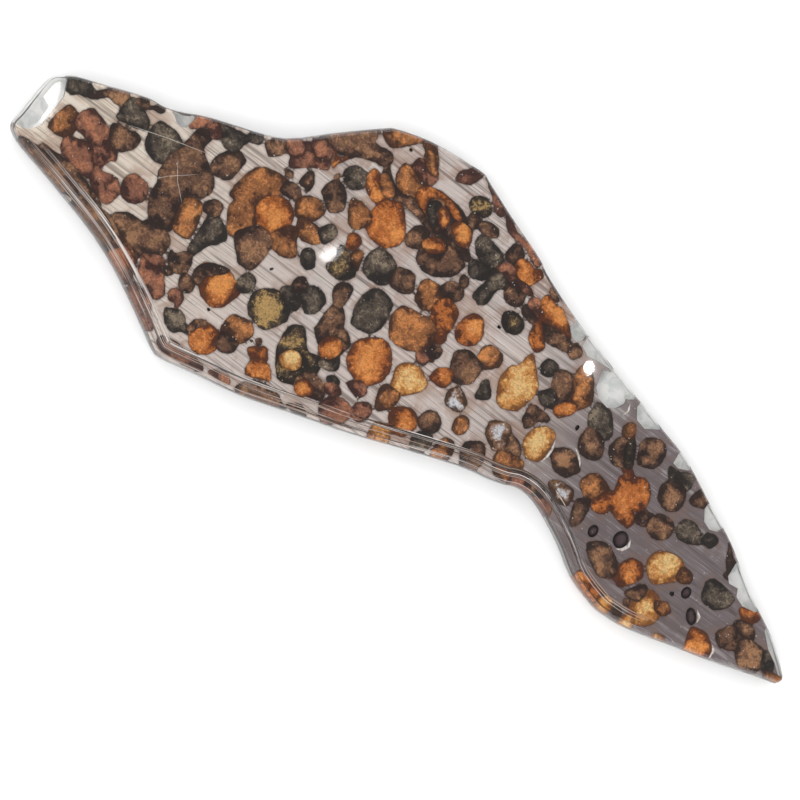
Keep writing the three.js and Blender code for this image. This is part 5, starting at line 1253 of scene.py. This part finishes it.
class SliceSettings(bpy.types.PropertyGroup):
    """Sizes and colours of the slice."""

    resin_ior: FloatProperty(name="Resin IOR", description="Refraction of the clear resin", default=1.5)
    # Painted light: the metal is given lighter at the blunt end and darker at the pointed end.
    metal_warm: FloatVectorProperty(name="Metal, blunt end", description="Metal colour at the blunt end, with painted light",
                                    subtype="COLOR", default=screen(254, 241, 224)[:3])
    metal_middle: FloatVectorProperty(name="Metal, middle", description="Metal colour in the middle, with painted light",
                                      subtype="COLOR", default=screen(229, 217, 211)[:3])
    metal_cool: FloatVectorProperty(name="Metal, pointed end", description="Metal colour at the pointed end, with painted shade",
                                    subtype="COLOR", default=screen(136, 124, 126)[:3])
    glint_seed: IntProperty(name="Glint seed", description="Changes where the glints lie", default=7)
    glint_size: FloatProperty(name="Glint size", description="Radius of the largest cleavage glint",
                              default=0.13 * MM, subtype="DISTANCE", unit="LENGTH")
    glint_density: FloatProperty(name="Glint density", description="Glints in a square metre",
                                 default=280000.0)
    dust_size: FloatProperty(name="Speck size", description="Radius of the largest speck in the resin",
                             default=0.17 * MM, subtype="DISTANCE", unit="LENGTH")
    dust_density: FloatProperty(name="Speck density", description="Specks in a square metre",
                                default=140000.0)


class StageSettings(bpy.types.PropertyGroup):
    """Floor, light and camera."""

    floor_colour: FloatVectorProperty(name="Floor", description="Colour of the floor", subtype="COLOR",
                                      default=(0.93, 0.93, 0.93))
    sky_strength: FloatProperty(name="Sky", description="Brightness of the soft light all round",
                                default=1.95)


def make_piece(thing, material, nodes=()):
    """Gives a piece its finish and ties it to the frame."""
    thing.data.materials.clear()
    thing.data.materials.append(material)
    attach(thing, BODY)
    if nodes:
        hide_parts(*nodes)


def bevel_share(outline):
    """How much of the bevel there is at each point of the outline, from 0 to 1."""
    along = np.roll(outline, -3, axis=0) - np.roll(outline, 3, axis=0)
    along /= np.linalg.norm(along, axis=1)[:, None]
    facing = along[:, 1] * BEVEL_FACING[0] - along[:, 0] * BEVEL_FACING[1]
    turned = np.clip((facing - BEVEL_TURN) / BEVEL_TURN_FADE, 0, 1)
    share = turned * np.clip((BEVEL_END - outline[:, 0]) / BEVEL_END_FADE, 0, 1)
    near = np.arange(-BEVEL_BLEND, BEVEL_BLEND + 1)
    return np.array([share[(i + near) % len(share)].mean() for i in range(len(share))])


def resin_rise(points, outline, half):
    """How far the resin's top and its underside lie from its middle at each point."""
    reach = distance_to_loop(points, outline)
    def rounded(width, height):
        return height * np.sqrt(np.clip(1 - (1 - np.clip(reach / width, 0, 1)) ** 2, 0, 1))
    plain = rounded(RIM_ROUNDING, half)
    slope = np.clip((reach - BEVEL_ROUNDING) / (BEVEL_WIDTH - BEVEL_ROUNDING), 0, 1)
    bevel = rounded(BEVEL_ROUNDING, half - BEVEL_DROP) + BEVEL_DROP * slope
    bevel -= GROOVE_DEPTH * np.exp(-((reach - GROOVE_INSET) / GROOVE_WIDTH) ** 2)
    nearest = np.array([np.argmin(np.sum((outline - point) ** 2, axis=1)) for point in points])
    share = bevel_share(outline)[nearest]
    return plain + share * (bevel - plain), plain


class SLICE_OT_resin(bpy.types.Operator):
    """Make the clear resin coat with its rounded rim"""

    bl_idname = "slice.resin"
    bl_label = "Clear resin coat"

    def execute(self, context):
        low, high, _, _ = heights()
        middle, half = (low + high) / 2, (high - low) / 2
        outline = resin_outline()
        rounding = RIM_ROUNDING * (1 - np.cos(np.arange(1, RIM_STEPS + 1) / RIM_STEPS * math.pi / 2))
        groove = GROOVE_INSET + GROOVE_WIDTH * np.array([-2, -1, 0, 1, 2])
        crease = BEVEL_WIDTH + CREASE_WIDTH * np.array([-1, 0, 1])
        insets = np.concatenate([rounding, SLOPE_INSETS, groove, crease])
        rings = [outline]
        for inset in insets:
            ring = moved_out(outline, -inset)
            rings.append(ring[distance_to_loop(ring, outline) > inset * 0.985])
        filling = scattered(outline.min(axis=0), outline.max(axis=0), 2.0, seed=3)
        filling = filling[inside(filling, outline)]
        filling = filling[distance_to_loop(filling, outline) > BEVEL_WIDTH + 0.5]
        points = np.concatenate(rings + [filling])
        found = delaunay_2d_cdt([Vector(p) for p in points], [], [list(range(len(outline)))], 1, 1e-5)
        flat = np.array([tuple(p) for p in found[0]])
        over, under = resin_rise(flat, outline, half)
        edge = distance_to_loop(flat, outline) < 1e-3
        over[edge] = 0
        count = len(flat)
        below = np.arange(count) + count
        below[edge] = np.arange(count)[edge]
        vertices = np.concatenate([np.column_stack([flat, middle + over]),
                                   np.column_stack([flat, middle - under])])
        faces = [tuple(t) for t in found[2]]
        faces += [(below[a], below[c], below[b]) for a, b, c in found[2]]
        used, corners = np.unique(np.array(faces), return_inverse=True)
        coat = new_object("resin_coat", vertices[used], corners.reshape(-1, 3), smooth=True)
        make_piece(coat, resin_material(context.scene.slice_settings), RESIN_NODES)
        return {"FINISHED"}


class SLICE_OT_metal(bpy.types.Operator):
    """Make the iron-nickel plate around the crystals"""

    bl_idname = "slice.metal"
    bl_label = "Iron-nickel plate"

    def execute(self, context):
        _, triangles, owners = core_face()
        plate = joined_slabs("iron_nickel_plate", [(0.5, triangles[owners == METAL])])
        make_piece(plate, metal_material(context.scene.slice_settings), [METAL_NODE])
        return {"FINISHED"}


class SLICE_OT_fills(bpy.types.Operator):
    """Make a pale fill in the chips at the core's edge, painted light for the light that shines through the
    clear resin there
    """

    bl_idname = "slice.fills"
    bl_label = "Pale fill of the chips"

    def execute(self, context):
        _, triangles, owners = core_face()
        _, _, low, high = heights()
        fills = joined_slabs("chip_backlight_fills", [(0.5, triangles[owners == CHIP])],
                             low, low + FILL_SHARE * (high - low))
        make_piece(fills, backlight_fill_material())
        return {"FINISHED"}


class SLICE_OT_crystals(bpy.types.Operator):
    """Make the olivine crystals, one piece for each kind"""

    bl_idname = "slice.crystals"
    bl_label = "Olivine crystals"

    def execute(self, context):
        _, triangles, owners = core_face()
        chance = random.Random(11)
        grains = drawn_grains()
        numbers = [chance.random() for _ in grains]
        for kind in KINDS:
            groups, nodes = [], set()
            for index, (node, own_kind, _) in enumerate(grains):
                mine = triangles[owners == index]
                if own_kind != kind or len(mine) == 0:
                    continue
                groups.append((numbers[index], mine))
                if node:
                    nodes.add(node)
            if not groups:
                continue
            crystals = joined_slabs(f"olivine_{kind}", groups)
            make_piece(crystals, olivine_material(kind),
                       sorted(nodes))
        return {"FINISHED"}


def scattered_over(context, name, chosen, material, density, size, seed):
    """A piece of small flakes that lie over the chosen triangles of the core's face."""
    places, triangles, _ = core_face()
    _, _, _, high = heights()
    used, corners = np.unique(triangles[chosen], return_inverse=True)
    lifted = np.column_stack([places[used], np.full(len(used), high + FLAKE_LIFT)])
    base = new_object("base", lifted, corners.reshape(-1, 3))
    base.data.materials.append(material)
    modifier = base.modifiers.new("flakes", "NODES")
    modifier.node_group = scatter_tree(material)
    names = {item.name: item.identifier for item in modifier.node_group.interface.items_tree
             if item.item_type == "SOCKET" and item.in_out == "INPUT"}
    modifier[names["Density"]] = density
    modifier[names["Size"]] = size
    modifier[names["Seed"]] = seed
    mesh = bpy.data.meshes.new_from_object(base.evaluated_get(context.evaluated_depsgraph_get()))
    mesh.name = name
    made = bpy.data.objects.new(name, mesh)
    context.scene.collection.objects.link(made)
    bpy.data.objects.remove(base)
    make_piece(made, material)


class SLICE_OT_glints(bpy.types.Operator):
    """Scatter small cleavage glints over the golden crystals' polished faces"""

    bl_idname = "slice.glints"
    bl_label = "Cleavage glints"

    def execute(self, context):
        settings = context.scene.slice_settings
        _, _, owners = core_face()
        grains = drawn_grains()
        chosen = np.array([owner >= 0 and grains[owner][1] in GLINTING for owner in owners])
        scattered_over(context, "cleavage_glints", chosen, glint_material(), settings.glint_density,
                       settings.glint_size, settings.glint_seed)
        return {"FINISHED"}


class SLICE_OT_dust(bpy.types.Operator):
    """Scatter pale specks in the resin, just over the core"""

    bl_idname = "slice.dust"
    bl_label = "Specks in the resin"

    def execute(self, context):
        settings = context.scene.slice_settings
        _, _, owners = core_face()
        scattered_over(context, "resin_specks", owners > CHIP, speck_material(), settings.dust_density,
                       settings.dust_size, settings.glint_seed + 1)
        return {"FINISHED"}


def scatter_tree(material):
    """Geometry Nodes tree that scatters small many-sided flakes over a surface."""
    tree = bpy.data.node_groups.new("Scatter flakes", "GeometryNodeTree")
    tree.interface.new_socket("Geometry", in_out="INPUT", socket_type="NodeSocketGeometry")
    tree.interface.new_socket("Density", in_out="INPUT", socket_type="NodeSocketFloat")
    tree.interface.new_socket("Size", in_out="INPUT", socket_type="NodeSocketFloat")
    tree.interface.new_socket("Seed", in_out="INPUT", socket_type="NodeSocketInt")
    tree.interface.new_socket("Geometry", in_out="OUTPUT", socket_type="NodeSocketGeometry")
    g = Graph(tree)
    given, made = g.add("NodeGroupInput"), g.add("NodeGroupOutput")
    points = g.add("GeometryNodeDistributePointsOnFaces", {
        "Mesh": given.outputs["Geometry"], "Density": given.outputs["Density"],
        "Seed": given.outputs["Seed"]})
    flake = g.add("GeometryNodeMeshIcoSphere", {"Radius": given.outputs["Size"], "Subdivisions": 1})
    turn = g.add("FunctionNodeRandomValue", data_type="FLOAT_VECTOR")
    turn.inputs[0].default_value = (-0.12, -0.12, 0.0)
    turn.inputs[1].default_value = (0.12, 0.12, math.tau)
    size = g.add("FunctionNodeRandomValue", data_type="FLOAT_VECTOR")
    size.inputs[0].default_value = (0.2, 0.15, 0.1)
    size.inputs[1].default_value = (1.0, 0.5, 0.15)
    placed = g.add("GeometryNodeInstanceOnPoints", {
        "Points": points.outputs["Points"], "Instance": flake.outputs["Mesh"],
        "Rotation": turn.outputs[0], "Scale": size.outputs[0]})
    real = g.add("GeometryNodeRealizeInstances", {0: placed.outputs[0]})
    dressed = g.add("GeometryNodeSetMaterial", {"Geometry": real.outputs[0], "Material": material})
    g.feed(dressed.outputs[0], made.inputs[0])
    return tree


def ribbons(name, lines):
    """One object of thin closed slivers, each from its path, width and tone, over the core's face."""
    _, _, _, high = heights()
    vertices, faces, tones = [], [], []
    for path, width, tone in lines:
        along = np.gradient(path, axis=0)
        along /= np.linalg.norm(along, axis=1)[:, None]
        across = np.stack([along[:, 1], -along[:, 0]], axis=1)
        swell = width / 2 * np.sin(np.pi * np.linspace(0.04, 0.96, len(path)))[:, None]
        start = len(vertices)
        for level in (high + RIBBON_LOW, high + RIBBON_HIGH):
            for side in (path + across * swell, path - across * swell):
                vertices += [(x, y, level) for x, y in side]
        n = len(path)
        tones += [tone] * (4 * n)
        rings = [[start + k * n + i for k in (0, 1, 3, 2)] for i in range(n)]
        for here, there in zip(rings, rings[1:]):
            for k in range(4):
                faces.append((here[k], here[(k + 1) % 4], there[(k + 1) % 4], there[k]))
        faces += [rings[0][::-1], rings[-1]]
    thing = new_object(name, vertices, faces)
    add_attribute(thing, "tone", tones)
    return thing


class SLICE_OT_gaps(bpy.types.Operator):
    """Make the thin gaps of air beside pits and crystals as pale slivers, a painted highlight"""

    bl_idname = "slice.gaps"
    bl_label = "Air gaps, painted highlights"

    def execute(self, context):
        lines = []
        for text, width in AIR_GAP_HIGHLIGHTS:
            line = points_of(text)
            t = np.linspace(0, len(line) - 1, 13)
            path = np.stack([np.interp(t, np.arange(len(line)), line[:, k]) for k in range(2)], axis=1)
            lines.append((path, width, 1.0))
        make_piece(ribbons("air_gap_highlights", lines), gap_highlight_material())
        return {"FINISHED"}


def lines_along(sets, places, tones, seed):
    """Random lines along the outline that start at the given places, each with its width and tone."""
    outline = resin_outline()
    starts = list(np.flatnonzero(places))
    chance = random.Random(seed)
    lines = []
    for count, insets, widths, lengths in sets:
        for _ in range(count):
            ring = moved_out(outline, -chance.uniform(*insets))
            first = chance.choice(starts)
            steps = max(4, round(chance.uniform(*lengths) / OUTLINE_SPACING))
            path = ring[(first + np.arange(steps)) % len(ring)]
            lines.append((path, chance.uniform(*widths), chance.uniform(*tones)))
    return lines


class SLICE_OT_streaks(bpy.types.Operator):
    """Make light and dark slivers along the bevel, painted reflections of its streaky rim, and dark ones
    along the plain rim, painted shade of its dark edge line
    """

    bl_idname = "slice.streaks"
    bl_label = "Streaks along the bevel"

    def execute(self, context):
        share = bevel_share(resin_outline())
        lines = lines_along(STREAKS, share > 0.5, (0.0, 1.0), STREAK_SEED)
        # Painted shade: dark slivers near the plain rim, left of where the shade ends.
        edge_shaded = (share < 0.1) & (resin_outline()[:, 0] < EDGE_SHADE_END)
        lines += lines_along(EDGE_SHADE_LINES, edge_shaded, EDGE_SHADE_TONES, EDGE_SHADE_SEED)
        make_piece(ribbons("painted_rim_streaks", lines), painted_streak_material())
        return {"FINISHED"}


# How far the floor reaches from the slice, and how far it lies below it
FLOOR_REACH = 900
FLOOR_DROP = 0.02

# The photograph's camera, measured in the plane of the polished face
VIEW_TURN = math.radians(36.0)
VIEW_TILT = math.radians(14.0)
VIEW_DISTANCE = 900.0
VIEW_SCALE = 0.15303
VIEW_AIM = (-1.05, -9.75)
VIEW_PIXELS = 800
SENSOR = 36.0


def view_axes():
    """The camera's back, up and right directions."""
    left = Vector((-math.cos(VIEW_TURN), -math.sin(VIEW_TURN), 0))
    up = Vector((-math.sin(VIEW_TURN), math.cos(VIEW_TURN), 0))
    back = math.sin(VIEW_TILT) * left + math.cos(VIEW_TILT) * Vector((0, 0, 1))
    return back, up, up.cross(back)


# Windows of light: where on the face each is mirrored, its half sizes there in millimetres, its turn
# in degrees and its strength
MIRRORED_LIGHTS = (
    (21.1, 11.9, 1.1, 1.0, 0.0, 60.0),
    (-23.5, 1.6, 2.3, 1.3, 65.0, 7.0),
    (-23.7, 1.3, 1.6, 0.7, 65.0, 12.0),
    (-71.9, -5.6, 4.2, 1.5, 94.0, 9.0),
    (-72.0, -6.6, 2.6, 0.8, 94.0, 12.0),
)
LIGHT_DISTANCE = 700.0

# The part of the soft light that the flat face would mirror is dimmed, as a photographer's flag does
SHADE_DIRECTION = (0.33, 0.15, 0.93)
SHADE_EDGE = math.cos(math.radians(42.0))
SHADE_CORE = math.cos(math.radians(16.0))
SHADE_SHARE = 0.07


class SLICE_OT_stage(bpy.types.Operator):
    """Make the floor, the light and the camera"""

    bl_idname = "slice.stage"
    bl_label = "Floor, light and camera"

    def execute(self, context):
        scene = context.scene
        settings = scene.stage_settings
        _, top, _, core_top = heights()
        back, up, right = view_axes()
        aim = Vector((*VIEW_AIM, core_top))
        eye = aim + VIEW_DISTANCE * back
        data = bpy.data.cameras.new("camera")
        data.sensor_width = SENSOR
        data.lens = VIEW_DISTANCE / VIEW_SCALE * SENSOR / VIEW_PIXELS
        data.clip_start, data.clip_end = 0.01, 20.0
        camera = bpy.data.objects.new("camera", data)
        camera.location = eye * MM
        camera.rotation_euler = turned_to(right, up, back)
        scene.collection.objects.link(camera)
        scene.camera = camera
        corners = [(x * FLOOR_REACH, y * FLOOR_REACH, -FLOOR_DROP)
                   for x, y in ((-1, -1), (1, -1), (1, 1), (-1, 1))]
        floor = new_object("floor", corners,
                           [(0, 1, 2, 3)])
        floor.data.materials.append(floor_material(settings))
        world = bpy.data.worlds.new("soft studio")
        world.use_nodes = True
        g = Graph(world.node_tree)
        sky = world.node_tree.nodes["Background"]
        sky.inputs["Color"].default_value = (1.0, 1.0, 1.0, 1.0)
        towards = g.add("ShaderNodeVectorMath", {0: g.add("ShaderNodeTexCoord").outputs["Generated"],
                                                 1: SHADE_DIRECTION}, operation="DOT_PRODUCT")
        dimmed = g.ramp(towards.outputs["Value"], SHADE_EDGE, SHADE_CORE, 1.0, SHADE_SHARE)
        g.feed(g.math("MULTIPLY", dimmed, settings.sky_strength), sky.inputs["Strength"])
        scene.world = world
        mirror_eye = Vector((eye.x, eye.y, 2 * top - eye.z))
        for number, (x, y, half_length, half_width, turn, strength) in enumerate(MIRRORED_LIGHTS):
            spot = Vector((x, y, top))
            ray = (spot - mirror_eye).normalized()
            growth = 1 + LIGHT_DISTANCE / VIEW_DISTANCE
            light = bpy.data.lights.new(f"window_{number}", "AREA")
            light.shape = "ELLIPSE"
            light.size = 2 * half_length * growth * MM
            light.size_y = 2 * half_width * growth * MM
            area = math.pi * light.size * light.size_y / 4
            light.energy = strength * area * math.pi
            lamp = bpy.data.objects.new(f"window_{number}", light)
            lamp.location = (spot + ray * LIGHT_DISTANCE) * MM
            along = Vector((math.cos(math.radians(turn)), math.sin(math.radians(turn)), 0))
            along = (along - along.dot(ray) * ray).normalized()
            lamp.rotation_euler = turned_to(along, ray.cross(along), ray)
            scene.collection.objects.link(lamp)
        scene.view_settings.view_transform = "Standard"
        return {"FINISHED"}


def turned_to(x_axis, y_axis, z_axis):
    """The turn that points an object's own axes the given ways."""
    return Matrix((x_axis, y_axis, z_axis)).transposed().to_euler()


def floor_material(settings):
    material, g, surface, _ = new_material("floor")
    place = g.add("ShaderNodeTexCoord").outputs["Object"]
    shade = g.ramp(g.noise(place, 6.0, 2.0), 0.3, 0.7, 0.98, 1.0)
    colour = g.mix(shade, (0.9, 0.9, 0.9, 1.0), (*settings.floor_colour, 1.0))
    g.feed(colour, surface.inputs["Base Color"])
    surface.inputs["Roughness"].default_value = 0.8
    return material


class SLICE_PT_panel(bpy.types.Panel):
    """Lists the makers of the slice's pieces and their settings"""

    bl_label = "Pallasite slice"
    bl_idname = "SLICE_PT_panel"
    bl_space_type = "VIEW_3D"
    bl_region_type = "UI"
    bl_category = "Slice"

    def draw(self, context):
        for settings in (context.scene.slice_settings, context.scene.stage_settings):
            for name in settings.bl_rna.properties.keys():
                if name not in ("rna_type", "name"):
                    self.layout.prop(settings, name)
        for operator in OPERATORS:
            self.layout.operator(operator.bl_idname)


OPERATORS = (SLICE_OT_stage, SLICE_OT_metal, SLICE_OT_fills, SLICE_OT_crystals,
             SLICE_OT_glints, SLICE_OT_dust,
             SLICE_OT_gaps, SLICE_OT_streaks, SLICE_OT_resin)
CLASSES = (SliceSettings, StageSettings, *OPERATORS, SLICE_PT_panel)


def register():
    for one in CLASSES:
        bpy.utils.register_class(one)
    bpy.types.Scene.slice_settings = PointerProperty(type=SliceSettings)
    bpy.types.Scene.stage_settings = PointerProperty(type=StageSettings)


def unregister():
    del bpy.types.Scene.stage_settings
    del bpy.types.Scene.slice_settings
    for one in reversed(CLASSES):
        bpy.utils.unregister_class(one)


def main():
    register()
    bpy.ops.slice.stage()
    bpy.ops.slice.metal()
    bpy.ops.slice.fills()
    bpy.ops.slice.crystals()
    bpy.ops.slice.glints()
    bpy.ops.slice.dust()
    bpy.ops.slice.gaps()
    bpy.ops.slice.streaks()
    bpy.ops.slice.resin()
    bpy.context.view_layer.update()


if __name__ == "__main__":
    main()
